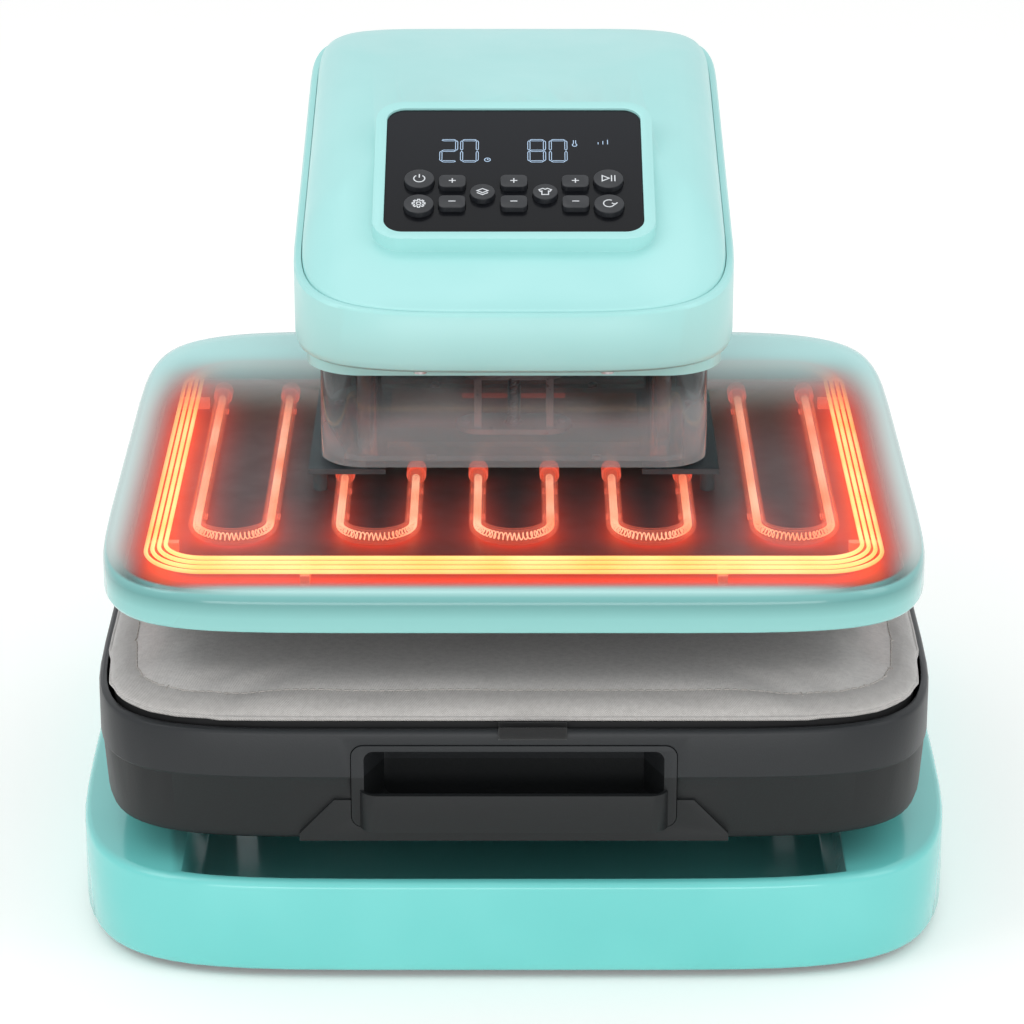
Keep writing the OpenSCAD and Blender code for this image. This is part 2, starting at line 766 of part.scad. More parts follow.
// A bar from y0 to y1 with the outline of the handle's frame, grown by grow
module handle_block(y0, y1, grow) {
    translate([0, y1, (handle_z0 + handle_z1) / 2]) rotate([90, 0, 0]) linear_extrude(y1 - y0)
        rounded_rect(2 * (handle_x + grow), handle_z1 - handle_z0 + 2 * grow, handle_r + grow);
}

// A thin upright plate at y that one face of the finger pocket follows
module pocket_face(y, half_w, z0, z1) {
    translate([0, y, (z0 + z1) / 2]) rotate([90, 0, 0]) linear_extrude(eps)
        rounded_rect(2 * half_w, z1 - z0, handle_r - 1);
}

module drawer_handle() {
    y0 = drawer_front;
    color("#2f3133") difference() {
        union() {
            handle_block(y0 - 0.6, y0 + handle_depth, 0);
            translate([0, y0 + 4, handle_z0]) linear_extrude(lip_z - handle_z0)
                rounded_rect(2 * handle_x - 8, 24, 10);
        }
        hull() {
            pocket_face(y0 - 4.5, handle_x - 9, lip_z - 15, handle_z1 - 3);
            pocket_face(y0, handle_x - 6, lip_z - 15, handle_z1 - 3);
            pocket_face(y0 + handle_depth - 4, handle_x - 16, lip_z - 13, handle_z1 - 10);
        }
    }
}

module pad_board() {
    color("#1d1e1f") translate([0, 0, board_z]) linear_extrude(pad_z - board_z)
        polygon(outline(drawer_w / 2 - 7, drawer_front + 7, drawer_back - 7, drawer_d / 2 - 7, 7));
}

module pad_cover() {
    color("#c8c4be") loft(shell_rings(drawer_w / 2 - 1.5, drawer_front + 2, drawer_back - 2, 7, [
        [1.2, pad_z], [0, pad_z + 2.5], [0.6, pad_z + 6.5], [3, pad_z + 10.5], [8, pad_z + pad_t - 1.6],
        [30, pad_z + pad_t]
    ]));
}

module fabric_tag() {
    color("#151516") {
        block(-8, 27, drawer_front - 0.9, drawer_front - 0.3, drawer_top - 6, pad_z);
        block(-8, 27, drawer_front - 0.9, drawer_front + 6.5, pad_z - 0.7, pad_z);
    }
}

base_shell();
base_plate();
feet();
body_screws();
fixed_rails();
column_frame();
column_front_cover();
column_rear_cover();
power_inlet();
rocker_switch();
arm_chassis();
gear_motor();
screw_bearing();
guide_bushes();
power_board();
fan_frame();
fan_rotor();
pod_lower_shell();
pod_top_cover();
control_panel();
display_module();
control_board();
button(0);  // power_button
button(1);  // settings_button
button(2);  // time_plus_button
button(3);  // time_minus_button
button(4);  // vinyl_preset_button
button(5);  // heat_plus_button
button(6);  // heat_minus_button
button(7);  // transfer_preset_button
button(8);  // pressure_plus_button
button(9);  // pressure_minus_button
button(10);  // start_button
button(11);  // auto_button
lead_screw();
head_cover();
head_base_frame();
insulation_frame();
heat_shield();
heat_platen();
perimeter_heater();
heater_tubes();
heater_filaments();
tube_holders();
terminal_block();
temperature_sensor();
lift_plate();
skirt();
guide_posts();
nut_carrier();
lead_nut();
head_screws();
middle_rails();
drawer_rails();
drawer_tray();
tray_frame();
drawer_handle();
pad_board();
pad_cover();
fabric_tag();
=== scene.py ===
"""The looks of a drawer-fed heat press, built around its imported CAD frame."""
import json
import math

import bmesh
import bpy
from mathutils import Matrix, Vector, noise
from mathutils.bvhtree import BVHTree
from mathutils.kdtree import KDTree


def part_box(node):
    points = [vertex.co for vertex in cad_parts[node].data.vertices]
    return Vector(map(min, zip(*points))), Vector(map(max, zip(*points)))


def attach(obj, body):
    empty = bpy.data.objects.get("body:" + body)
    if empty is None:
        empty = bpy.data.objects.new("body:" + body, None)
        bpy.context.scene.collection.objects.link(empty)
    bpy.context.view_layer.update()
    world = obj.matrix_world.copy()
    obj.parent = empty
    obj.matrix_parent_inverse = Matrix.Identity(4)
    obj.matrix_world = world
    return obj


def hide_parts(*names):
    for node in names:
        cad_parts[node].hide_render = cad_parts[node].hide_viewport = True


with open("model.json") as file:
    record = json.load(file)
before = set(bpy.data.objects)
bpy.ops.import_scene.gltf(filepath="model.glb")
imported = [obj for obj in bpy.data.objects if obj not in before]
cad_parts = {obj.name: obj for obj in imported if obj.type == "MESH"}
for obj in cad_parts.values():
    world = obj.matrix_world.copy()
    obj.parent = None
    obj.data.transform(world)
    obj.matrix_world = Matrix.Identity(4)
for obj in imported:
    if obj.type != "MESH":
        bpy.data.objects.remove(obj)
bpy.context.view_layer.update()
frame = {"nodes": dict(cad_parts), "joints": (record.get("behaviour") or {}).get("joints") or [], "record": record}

MM = 0.001
HEM = 13 * MM
NODES = frame["nodes"]


# ---- Helpers ----

def srgb(code):
    """An sRGB hex colour as linear RGBA."""
    parts = [int(code[i:i + 2], 16) / 255 for i in (1, 3, 5)]
    return (*[c / 12.92 if c <= 0.04045 else ((c + 0.055) / 1.055) ** 2.4 for c in parts], 1.0)


def add(tree, kind, inputs=None, stops=(), **settings):
    """Adds a node. An input is a value, a socket, or a node, which gives its first output.
    stops are a colour ramp's (place, hex colour) pairs."""
    made = tree.nodes.new(kind)
    for key, value in settings.items():
        setattr(made, key, value)
    for key, value in (inputs or {}).items():
        if isinstance(value, bpy.types.Node):
            value = value.outputs[0]
        if isinstance(value, bpy.types.NodeSocket):
            tree.links.new(value, made.inputs[key])
        else:
            made.inputs[key].default_value = value
    for number, (place, code) in enumerate(stops):
        elements = made.color_ramp.elements
        element = elements[number] if number < 2 else elements.new(place)
        element.position = place
        element.color = srgb(code)
    return made


def start_material(name, colour, **sockets):
    """A Principled material. sockets are the shader's own values, with underscores for spaces.
    Gives the material, its tree, its shader and the Object coordinates."""
    material = bpy.data.materials.new(name)
    material.use_nodes = True
    tree = material.node_tree
    shader = tree.nodes["Principled BSDF"]
    shader.inputs["Base Color"].default_value = srgb(colour)
    for key, value in sockets.items():
        shader.inputs[key.replace("_", " ")].default_value = value
    return material, tree, shader, add(tree, "ShaderNodeTexCoord").outputs["Object"]


def finish_piece(piece, material, body, slot, *replaced):
    """Gives a finished piece its material and its body, and hides the CAD nodes that it stands for. Its slot is
    not used.
    """
    piece.data.materials.clear()
    piece.data.materials.append(material)
    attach(piece, body)
    if replaced:
        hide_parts(*replaced)
    return piece


def place_object(name, data):
    piece = bpy.data.objects.new(name, data)
    bpy.context.scene.collection.objects.link(piece)
    return piece


def mesh_piece(name, points, faces, smooth=True):
    mesh = bpy.data.meshes.new(name)
    mesh.from_pydata([tuple(p) for p in points], [], faces)
    mesh.validate()
    for polygon in mesh.polygons:
        polygon.use_smooth = smooth
    return place_object(name, mesh)


def settle(piece):
    """Turns an object with its modifiers into a plain mesh object."""
    depsgraph = bpy.context.evaluated_depsgraph_get()
    mesh = bpy.data.meshes.new_from_object(piece.evaluated_get(depsgraph))
    if piece.type == "MESH":
        piece.modifiers.clear()
        piece.data = mesh
        return piece
    name = piece.name
    bpy.data.objects.remove(piece)
    return place_object(name, mesh)


def merged_copy(node, name):
    """A copy of a CAD node with its loose triangles joined."""
    piece = place_object(name, NODES[node].data.copy())
    work = bmesh.new()
    work.from_mesh(piece.data)
    bmesh.ops.remove_doubles(work, verts=work.verts, dist=0.002 * MM)
    bmesh.ops.dissolve_limit(work, angle_limit=math.radians(0.3), verts=work.verts, edges=work.edges)
    for face in work.faces:
        face.smooth = True
    work.to_mesh(piece.data)
    work.free()
    return piece


def smooth_shell(node, name, edge, angle=30):
    """A merged copy of a CAD shell, with edges sharper than angle degrees rounded by edge metres."""
    piece = merged_copy(node, name)
    rounding = piece.modifiers.new("edge", "BEVEL")
    rounding.width = edge
    rounding.segments = 3
    rounding.limit_method = "ANGLE"
    rounding.angle_limit = math.radians(angle)
    rounding.harden_normals = True
    return settle(piece)


# ---- Plastics ----

def moulded_plastic(name, colour, shade, grain, depth, **sockets):
    """Injection-moulded ABS: a fine spark-eroded grain (grain and depth in mm), and a slow drift of
    colour to shade over a hand's width, as the flow of the melt leaves it."""
    material, tree, shader, place = start_material(name, colour, **sockets)
    drift = add(tree, "ShaderNodeTexNoise", {"Vector": place, "Scale": 1 / (90 * MM), "Detail": 2.0})
    colours = add(tree, "ShaderNodeValToRGB", {"Fac": drift}, stops=((0.35, colour), (0.65, shade)))
    tree.links.new(colours.outputs[0], shader.inputs["Base Color"])
    pits = add(tree, "ShaderNodeTexNoise", {"Vector": place, "Scale": 1 / (grain * MM), "Detail": 3.0})
    relief = add(tree, "ShaderNodeBump", {"Height": pits, "Distance": depth * MM, "Strength": 0.6})
    tree.links.new(relief.outputs[0], shader.inputs["Normal"])
    rough = sockets.get("Roughness", 0.5)
    scuffs = add(tree, "ShaderNodeTexNoise", {"Vector": place, "Scale": 1 / (24 * MM), "Detail": 5.0})
    polish = add(tree, "ShaderNodeMapRange", {"Value": scuffs, "From Min": 0.35, "From Max": 0.7,
                                              "To Min": rough * 0.88, "To Max": rough * 1.12})
    tree.links.new(polish.outputs[0], shader.inputs["Roughness"])
    return material


def drawer_plastic(seam):
    """Charcoal ABS moulding. Its upper band, above seam metres, is a shade lighter and smoother than the
    coarse-grained side below."""
    material, tree, shader, place = start_material("charcoal_grained_abs", "#323335", Specular_IOR_Level=0.3)
    z = add(tree, "ShaderNodeSeparateXYZ", {0: place}).outputs["Z"]
    band = add(tree, "ShaderNodeMapRange", {"Value": z, "From Min": seam - 0.2 * MM,
                                            "From Max": seam + 0.2 * MM})
    colours = add(tree, "ShaderNodeValToRGB", {"Fac": band}, stops=((0.0, "#1A1C1D"), (1.0, "#282A2C")))
    tree.links.new(colours.outputs[0], shader.inputs["Base Color"])
    grain = add(tree, "ShaderNodeTexVoronoi", {"Vector": place, "Scale": 1 / (1.1 * MM)})
    fine = add(tree, "ShaderNodeTexNoise", {"Vector": place, "Scale": 1 / (0.7 * MM), "Detail": 2.0})
    height = add(tree, "ShaderNodeMath", {0: grain, 1: fine}, operation="ADD")
    relief = add(tree, "ShaderNodeBump", {"Height": height, "Distance": 0.06 * MM, "Strength": 0.5})
    tree.links.new(relief.outputs[0], shader.inputs["Normal"])
    rough = add(tree, "ShaderNodeMapRange", {"Value": band, "To Min": 0.46, "To Max": 0.36})
    tree.links.new(rough.outputs[0], shader.inputs["Roughness"])
    return material


def cover_plastic(loop):
    """The head's mint moulding, which turns from solid mint at its rim and rear to a thin clear tint
    over the heaters. Its rim wall is darkened by a painted shade, and a painted red-orange glow
    (base colour and emission) lies round the heater loop. The fades are distances in from its edges."""
    low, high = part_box("head_cover")
    material, tree, shader, place = start_material(
        "mint_and_clear_polycarbonate", "#9FDDD9", Roughness=0.18, Coat_Weight=0.3, Coat_Roughness=0.05,
        Emission_Color=srgb("#FF4A26"))
    axes = add(tree, "ShaderNodeSeparateXYZ", {0: place})
    spread = add(tree, "ShaderNodeMath", {0: axes.outputs["X"]}, operation="ABSOLUTE")
    fades = []
    for value, solid, clear in (
            (spread, high.x - 4 * MM, high.x - 30 * MM),
            (axes.outputs["Y"], low.y + 3 * MM, low.y + 16 * MM),
            (axes.outputs["Y"], high.y - 45 * MM, high.y - 165 * MM),
            (axes.outputs["Z"], high.z - 5 * MM, high.z - 3.6 * MM)):
        fades.append(add(tree, "ShaderNodeMapRange", {"Value": value, "From Min": solid, "From Max": clear},
                         interpolation_type="SMOOTHSTEP"))
    clear = fades[0]
    for fade in fades[1:]:
        clear = add(tree, "ShaderNodeMath", {0: clear, 1: fade}, operation="MULTIPLY")
    alpha = add(tree, "ShaderNodeMapRange", {"Value": clear, "To Min": 1.0, "To Max": 0.1})
    tree.links.new(alpha.outputs[0], shader.inputs["Alpha"])
    # Painted shade: the rim wall's colour darkens with height, deepest about two-thirds of the way up, and comes
    # back to plain mint on the top face.
    face = add(tree, "ShaderNodeMapRange", {"Value": axes.outputs["Z"], "From Min": low.z,
                                            "From Max": high.z - 2 * MM})
    solid = add(tree, "ShaderNodeValToRGB", {"Fac": face}, stops=(
        (0.0, "#8CC8C4"), (1.0, "#A9E2DF"), (0.35, "#84C0BC"), (0.7, "#5F9A97"), (0.88, "#77B3B0")))
    tint = add(tree, "ShaderNodeMix", {0: clear, 6: solid, 7: srgb("#1B4447")}, data_type="RGBA")
    # Painted glow: a red-orange halo round the heater loop, set a little forward of it, in the base colour and the
    # emission, though the cover is no lamp.
    near_loop = loop_distance(tree, place, loop["half"], loop["corner"], loop["middle"] - 16 * MM)
    halo = add(tree, "ShaderNodeMath", {0: glow(tree, near_loop, 11 * MM, 1.3), 1: fades[3]},
               operation="MULTIPLY")
    halo = add(tree, "ShaderNodeMath", {0: halo, 1: fades[2]}, operation="MULTIPLY", use_clamp=True)
    lit = add(tree, "ShaderNodeMix", {0: halo, 6: tint.outputs[2], 7: srgb("#D8401F")}, data_type="RGBA")
    tree.links.new(lit.outputs[2], shader.inputs["Base Color"])
    painted_glow_strength = add(tree, "ShaderNodeMath", {0: halo, 1: 0.35}, operation="MULTIPLY")
    tree.links.new(painted_glow_strength.outputs[0], shader.inputs["Emission Strength"])
    return material


def smoked_polycarbonate():
    """A clear, slightly grey box: glossy and darker where it is seen edge on. Its colour is painted paler
    towards its foot, a painted light from the pale floor below, and the edge of that paleness is waved slowly."""
    low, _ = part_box("skirt")
    material, tree, shader, place = start_material(
        "smoked_polycarbonate", "#23292C", Roughness=0.06, IOR=1.58, Coat_Weight=0.4, Coat_Roughness=0.03)
    z = add(tree, "ShaderNodeSeparateXYZ", {0: place}).outputs["Z"]
    flow = add(tree, "ShaderNodeTexNoise", {"Vector": place, "Scale": 1 / (60 * MM), "Detail": 1.0})
    waved = add(tree, "ShaderNodeMath", {0: flow, 1: 50 * MM}, operation="MULTIPLY")
    height = add(tree, "ShaderNodeMath", {0: z, 1: waved}, operation="ADD")
    # Painted light: the base colour is pale at the box's foot and dark above, standing in for the pale floor's
    # light; noise waves the edge between them.
    rise = add(tree, "ShaderNodeMapRange", {"Value": height, "From Min": low.z + 45 * MM,
                                            "From Max": low.z + 75 * MM}, interpolation_type="SMOOTHSTEP")
    tint = add(tree, "ShaderNodeValToRGB", {"Fac": rise}, stops=((0.0, "#A9B3B5"), (1.0, "#1B282C")))
    tree.links.new(tint.outputs[0], shader.inputs["Base Color"])
    edge = add(tree, "ShaderNodeLayerWeight", {"Blend": 0.35}).outputs["Facing"]
    alpha = add(tree, "ShaderNodeMapRange", {"Value": edge, "To Min": 0.4, "To Max": 0.88})
    tree.links.new(alpha.outputs[0], shader.inputs["Alpha"])
    return material


def black_glass():
    """The display's polished black acrylic: deep and glossy, with a painted sheen that greys it a little towards
    its top.
    """
    low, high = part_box("control_panel")
    material, tree, shader, place = start_material(
        "polished_black_acrylic", "#0E0F12", Roughness=0.2, Specular_IOR_Level=0.22)
    z = add(tree, "ShaderNodeSeparateXYZ", {0: place}).outputs["Z"]
    # Painted sheen: the base colour greys towards the panel's top.
    rise = add(tree, "ShaderNodeMapRange", {"Value": z, "From Min": low.z, "From Max": high.z})
    colours = add(tree, "ShaderNodeValToRGB", {"Fac": rise}, stops=((0.0, "#0B0C0F"), (1.0, "#191B20")))
    tree.links.new(colours.outputs[0], shader.inputs["Base Color"])
    return material


def plain_material(name, colour, grain, depth, **sockets):
    """A material with one colour and a grain (grain and depth in mm): rubber, ceramic, fibre or board."""
    material, tree, shader, place = start_material(name, colour, **sockets)
    pits = add(tree, "ShaderNodeTexNoise", {"Vector": place, "Scale": 1 / (grain * MM), "Detail": 4.0})
    relief = add(tree, "ShaderNodeBump", {"Height": pits, "Distance": depth * MM, "Strength": 0.7})
    tree.links.new(relief.outputs[0], shader.inputs["Normal"])
    tone = add(tree, "ShaderNodeHueSaturation", {"Color": srgb(colour)})
    value = add(tree, "ShaderNodeMapRange", {"Value": pits, "To Min": 0.85, "To Max": 1.15})
    tree.links.new(value.outputs[0], tone.inputs["Value"])
    tree.links.new(tone.outputs[0], shader.inputs["Base Color"])
    return material


# ---- Metals ----

def metal(name, colour, roughness, stretch, depth=0.01, metallic=1.0):
    """A worked metal. stretch is the (x, y, z) length in mm of its marks: long along a ground or drawn
    direction, equal for plating or a casting."""
    material, tree, shader, place = start_material(name, colour, Metallic=metallic)
    sized = add(tree, "ShaderNodeMapping", {"Vector": place, "Scale": tuple(1 / (s * MM) for s in stretch)})
    marks = add(tree, "ShaderNodeTexNoise", {"Vector": sized, "Scale": 1.0, "Detail": 4.0})
    rough = add(tree, "ShaderNodeMapRange", {"Value": marks, "From Min": 0.3, "From Max": 0.7,
                                             "To Min": roughness * 0.75, "To Max": roughness * 1.3})
    tree.links.new(rough.outputs[0], shader.inputs["Roughness"])
    relief = add(tree, "ShaderNodeBump", {"Height": marks, "Distance": depth * MM, "Strength": 0.3})
    tree.links.new(relief.outputs[0], shader.inputs["Normal"])
    return material


# ---- Hot parts ----

def loop_distance(tree, place, half, corner, middle_y):
    """Distance in metres from a rounded rectangle's line, in plan."""
    flat = add(tree, "ShaderNodeVectorMath", {0: place, 1: (1, 1, 0)}, operation="MULTIPLY")
    moved = add(tree, "ShaderNodeVectorMath", {0: flat, 1: (0, middle_y, 0)}, operation="SUBTRACT")
    folded = add(tree, "ShaderNodeVectorMath", {0: moved}, operation="ABSOLUTE")
    inner = (half[0] - corner, half[1] - corner, 0)
    past = add(tree, "ShaderNodeVectorMath", {0: folded, 1: inner}, operation="SUBTRACT")
    outside = add(tree, "ShaderNodeVectorMath", {0: past, 1: (0, 0, 0)}, operation="MAXIMUM")
    reach = add(tree, "ShaderNodeVectorMath", {0: outside}, operation="LENGTH").outputs["Value"]
    axes = add(tree, "ShaderNodeSeparateXYZ", {0: past})
    larger = add(tree, "ShaderNodeMath", {0: axes.outputs["X"], 1: axes.outputs["Y"]}, operation="MAXIMUM")
    within = add(tree, "ShaderNodeMath", {0: larger, 1: 0.0}, operation="MINIMUM")
    total = add(tree, "ShaderNodeMath", {0: reach, 1: within}, operation="ADD")
    signed = add(tree, "ShaderNodeMath", {0: total, 1: corner}, operation="SUBTRACT")
    return add(tree, "ShaderNodeMath", {0: signed}, operation="ABSOLUTE")


def tube_distance(tree, place, x, back, front, bend):
    """Distance in metres from a U of tube, in plan: two legs at x plus and minus bend, joined in front."""
    axes = add(tree, "ShaderNodeSeparateXYZ", {0: place})
    across = add(tree, "ShaderNodeMath", {0: axes.outputs["X"], 1: x}, operation="SUBTRACT")
    folded = add(tree, "ShaderNodeMath", {0: across}, operation="ABSOLUTE")
    ahead = add(tree, "ShaderNodeMath", {0: axes.outputs["Y"], 1: front + bend}, operation="SUBTRACT")
    bent = add(tree, "ShaderNodeMath", {0: ahead, 1: 0.0}, operation="MINIMUM")
    arc = add(tree, "ShaderNodeCombineXYZ", {"X": folded, "Y": bent})
    reach = add(tree, "ShaderNodeVectorMath", {0: arc}, operation="LENGTH").outputs["Value"]
    off = add(tree, "ShaderNodeMath", {0: reach, 1: bend}, operation="SUBTRACT")
    beyond = add(tree, "ShaderNodeMath", {0: axes.outputs["Y"], 1: back}, operation="SUBTRACT")
    past = add(tree, "ShaderNodeMath", {0: beyond, 1: 0.0}, operation="MAXIMUM")
    both = add(tree, "ShaderNodeCombineXYZ", {"X": off, "Y": past})
    return add(tree, "ShaderNodeVectorMath", {0: both}, operation="LENGTH").outputs["Value"]


def glow(tree, distance, reach, strength):
    """Painted light, as an emission strength, that falls away over reach metres from a hot line."""
    share = add(tree, "ShaderNodeMath", {0: distance, 1: -1 / reach}, operation="MULTIPLY")
    fall = add(tree, "ShaderNodeMath", {0: math.e, 1: share}, operation="POWER")
    return add(tree, "ShaderNodeMath", {0: fall, 1: strength}, operation="MULTIPLY")


def shield_with_painted_glow(tubes, loop):
    """The dark coated aluminium tray under the heaters. It carries a painted red-orange glow (emission)
    that stands in for the heaters' light on it, strongest beside the loop and under the front bends of the tubes."""
    material, tree, shader, place = start_material(
        "coated_aluminium_painted_glow", "#20272A", Metallic=0.3, Roughness=0.42,
        Emission_Color=srgb("#FF3B18"))
    # Painted glow: emission round the loop and along each tube, stronger at the front bends and faded rearward,
    # though the tray is no lamp.
    near_loop = loop_distance(tree, place, loop["half"], loop["corner"], loop["middle"])
    total = glow(tree, near_loop, 10 * MM, 1.5)
    y = add(tree, "ShaderNodeSeparateXYZ", {0: place}).outputs["Y"]
    for tube in tubes:
        near = tube_distance(tree, place, **tube)
        at_front = add(tree, "ShaderNodeMapRange", {"Value": y, "From Min": tube["front"] + 10 * MM,
                       "From Max": tube["front"] + 80 * MM, "To Min": 1.7, "To Max": 0.35})
        lit = glow(tree, near, 8 * MM, 0.45)
        share = add(tree, "ShaderNodeMath", {0: lit, 1: at_front}, operation="MULTIPLY")
        total = add(tree, "ShaderNodeMath", {0: total, 1: share}, operation="ADD")
    rearward = add(tree, "ShaderNodeMapRange", {"Value": y, "From Min": 40 * MM, "From Max": 150 * MM,
                                                "To Min": 1.0, "To Max": 0.25})
    faded = add(tree, "ShaderNodeMath", {0: total, 1: rearward}, operation="MULTIPLY")
    tree.links.new(faded.outputs[0], shader.inputs["Emission Strength"])
    stains = add(tree, "ShaderNodeTexNoise", {"Vector": place, "Scale": 1 / (14 * MM), "Detail": 5.0})
    rough = add(tree, "ShaderNodeMapRange", {"Value": stains, "To Min": 0.3, "To Max": 0.55})
    tree.links.new(rough.outputs[0], shader.inputs["Roughness"])
    return material


def hot_wire(name, colour, core, strength):
    """Resistance wire at work: it gives its own light, yellow where it is hottest, with short cooler
    stretches a few centimetres long."""
    material, tree, shader, place = start_material(name, colour, Roughness=0.5)
    spots = add(tree, "ShaderNodeTexNoise", {"Vector": place, "Scale": 1 / (35 * MM), "Detail": 1.0})
    colours = add(tree, "ShaderNodeValToRGB", {"Fac": spots}, stops=((0.3, colour), (0.62, core)))
    tree.links.new(colours.outputs[0], shader.inputs["Emission Color"])
    y = add(tree, "ShaderNodeSeparateXYZ", {0: place}).outputs["Y"]
    fade = add(tree, "ShaderNodeMapRange", {"Value": y, "From Min": -120 * MM, "From Max": 150 * MM,
                                            "To Min": strength, "To Max": strength * 0.55})
    tree.links.new(fade.outputs[0], shader.inputs["Emission Strength"])
    return material


def quartz_with_painted_glow():
    """Clear fused quartz tube with a painted glow (emission) in its wall, standing in for its wire's light:
    thin face on, dense at its edges, and brightest round the front bend."""
    low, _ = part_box("heater_tubes")
    material, tree, shader, place = start_material(
        "fused_quartz_painted_glow", "#E87A66", Roughness=0.08, IOR=1.46, Coat_Weight=0.5, Coat_Roughness=0.04,
        Emission_Color=srgb("#FF7A5C"))
    edge = add(tree, "ShaderNodeLayerWeight", {"Blend": 0.3}).outputs["Facing"]
    alpha = add(tree, "ShaderNodeMapRange", {"Value": edge, "From Min": 0.35, "To Min": 0.1, "To Max": 0.6})
    tree.links.new(alpha.outputs[0], shader.inputs["Alpha"])
    y = add(tree, "ShaderNodeSeparateXYZ", {0: place}).outputs["Y"]
    # Painted glow: the glass's own emission, strongest at the front bend.
    front = add(tree, "ShaderNodeMapRange", {"Value": y, "From Min": low.y, "From Max": low.y + 70 * MM,
                                             "To Min": 0.7, "To Max": 0.3})
    tree.links.new(front.outputs[0], shader.inputs["Emission Strength"])
    return material


# ---- Cloth ----

def twill(name, colour, shade, hem, thread, relief_depth):
    """Woven twill. Its diagonal ribs rise one thread for each thread across, and are drawn coarser than
    the real 0.5 mm so that they show. A slow mottle stands for lint and handling. The hem, which is
    the cloth within HEM of an edge, is a darker band: partly a darker hem cloth, partly painted shade along the
    pad's edge."""
    material, tree, shader, place = start_material(name, colour, Roughness=0.9, Sheen_Weight=0.35,
                                                   Sheen_Roughness=0.5)
    axes = add(tree, "ShaderNodeSeparateXYZ", {0: place})
    run = add(tree, "ShaderNodeMath", {0: axes.outputs["X"], 1: axes.outputs["Y"]}, operation="ADD")
    lift = add(tree, "ShaderNodeMath", {0: run, 1: axes.outputs["Z"]}, operation="ADD")
    phase = add(tree, "ShaderNodeMath", {0: lift, 1: math.tau / (thread * MM)}, operation="MULTIPLY")
    rib = add(tree, "ShaderNodeMath", {0: phase}, operation="SINE")
    cross = add(tree, "ShaderNodeMath", {0: axes.outputs["X"], 1: axes.outputs["Y"]}, operation="SUBTRACT")
    cross_phase = add(tree, "ShaderNodeMath", {0: cross, 1: math.tau / (thread * 0.7 * MM)},
                      operation="MULTIPLY")
    pick = add(tree, "ShaderNodeMath", {0: cross_phase}, operation="SINE")
    minor = add(tree, "ShaderNodeMath", {0: pick, 1: 0.45}, operation="MULTIPLY")
    weave = add(tree, "ShaderNodeMath", {0: rib, 1: minor}, operation="ADD")
    lint = add(tree, "ShaderNodeTexNoise", {"Vector": place, "Scale": 1 / (3 * MM), "Detail": 5.0,
                                            "Roughness": 0.7})
    fuzz = add(tree, "ShaderNodeMath", {0: lint, 1: 3.5}, operation="MULTIPLY")
    height = add(tree, "ShaderNodeMath", {0: weave, 1: fuzz}, operation="ADD")
    relief = add(tree, "ShaderNodeBump", {"Height": height, "Distance": relief_depth * MM,
                                          "Strength": 0.55})
    tree.links.new(relief.outputs[0], shader.inputs["Normal"])
    mix = add(tree, "ShaderNodeMapRange", {"Value": height, "From Min": 0.4, "From Max": 2.9})
    colours = add(tree, "ShaderNodeValToRGB", {"Fac": mix}, stops=((0.1, shade), (0.8, colour)))
    # The hem band, partly painted shade along the pad's edge, is mixed towards the hem colour.
    inset = add(tree, "ShaderNodeAttribute", attribute_name="edge_distance").outputs["Fac"]
    band = add(tree, "ShaderNodeMapRange", {"Value": inset, "From Min": HEM + 0.3 * MM,
                                            "From Max": HEM - 0.3 * MM, "To Max": 0.4})
    hem_and_painted_shade = add(tree, "ShaderNodeMix", {0: band, 6: colours, 7: srgb(hem)}, data_type="RGBA")
    tree.links.new(hem_and_painted_shade.outputs[2], shader.inputs["Base Color"])
    return material


# ---- Strokes: thin raised lines for the display and the button marks ----

def stroke_faces(line, width, height, closed):
    """A flat bar that follows a line of (across, up) points: its corner points and faces, in mm."""
    count = len(line)
    left, right = [], []
    for i, (x, y) in enumerate(line):
        before = line[i - 1] if closed or i else None
        after = line[(i + 1) % count] if closed or i < count - 1 else None
        ways = [Vector((x - before[0], y - before[1])).normalized()] if before else []
        ways += [Vector((after[0] - x, after[1] - y)).normalized()] if after else []
        way = sum(ways, Vector((0, 0))).normalized()
        side = Vector((-way.y, way.x))
        stretch = width / 2 / max(0.5, side.dot(Vector((-ways[0].y, ways[0].x))))
        left.append((x + side.x * stretch, y + side.y * stretch))
        right.append((x - side.x * stretch, y - side.y * stretch))
    points = [(*p, z) for z in (0, height) for ring in (left, right) for p in ring]
    faces = []
    for i in range(count if closed else count - 1):
        j = (i + 1) % count
        a, b, c, d = i, j, count + j, count + i
        up = 2 * count
        faces += [(a, b, c, d), (up + d, up + c, up + b, up + a), (a, up + a, up + b, b),
                  (d, c, up + c, up + d)]
    if not closed:
        last, up = count - 1, 2 * count
        faces += [(0, count, up + count, up), (last, up + last, up + count + last, count + last)]
    return points, faces


def arc(x, y, radius, start, end, steps=20, squash=1.0):
    turns = [math.radians(start + (end - start) * i / steps) for i in range(steps + 1)]
    return [(x + radius * math.cos(t), y + radius * squash * math.sin(t)) for t in turns]


def ring(x, y, radius, steps=24):
    return arc(x, y, radius, 0, 360, steps)[:-1]


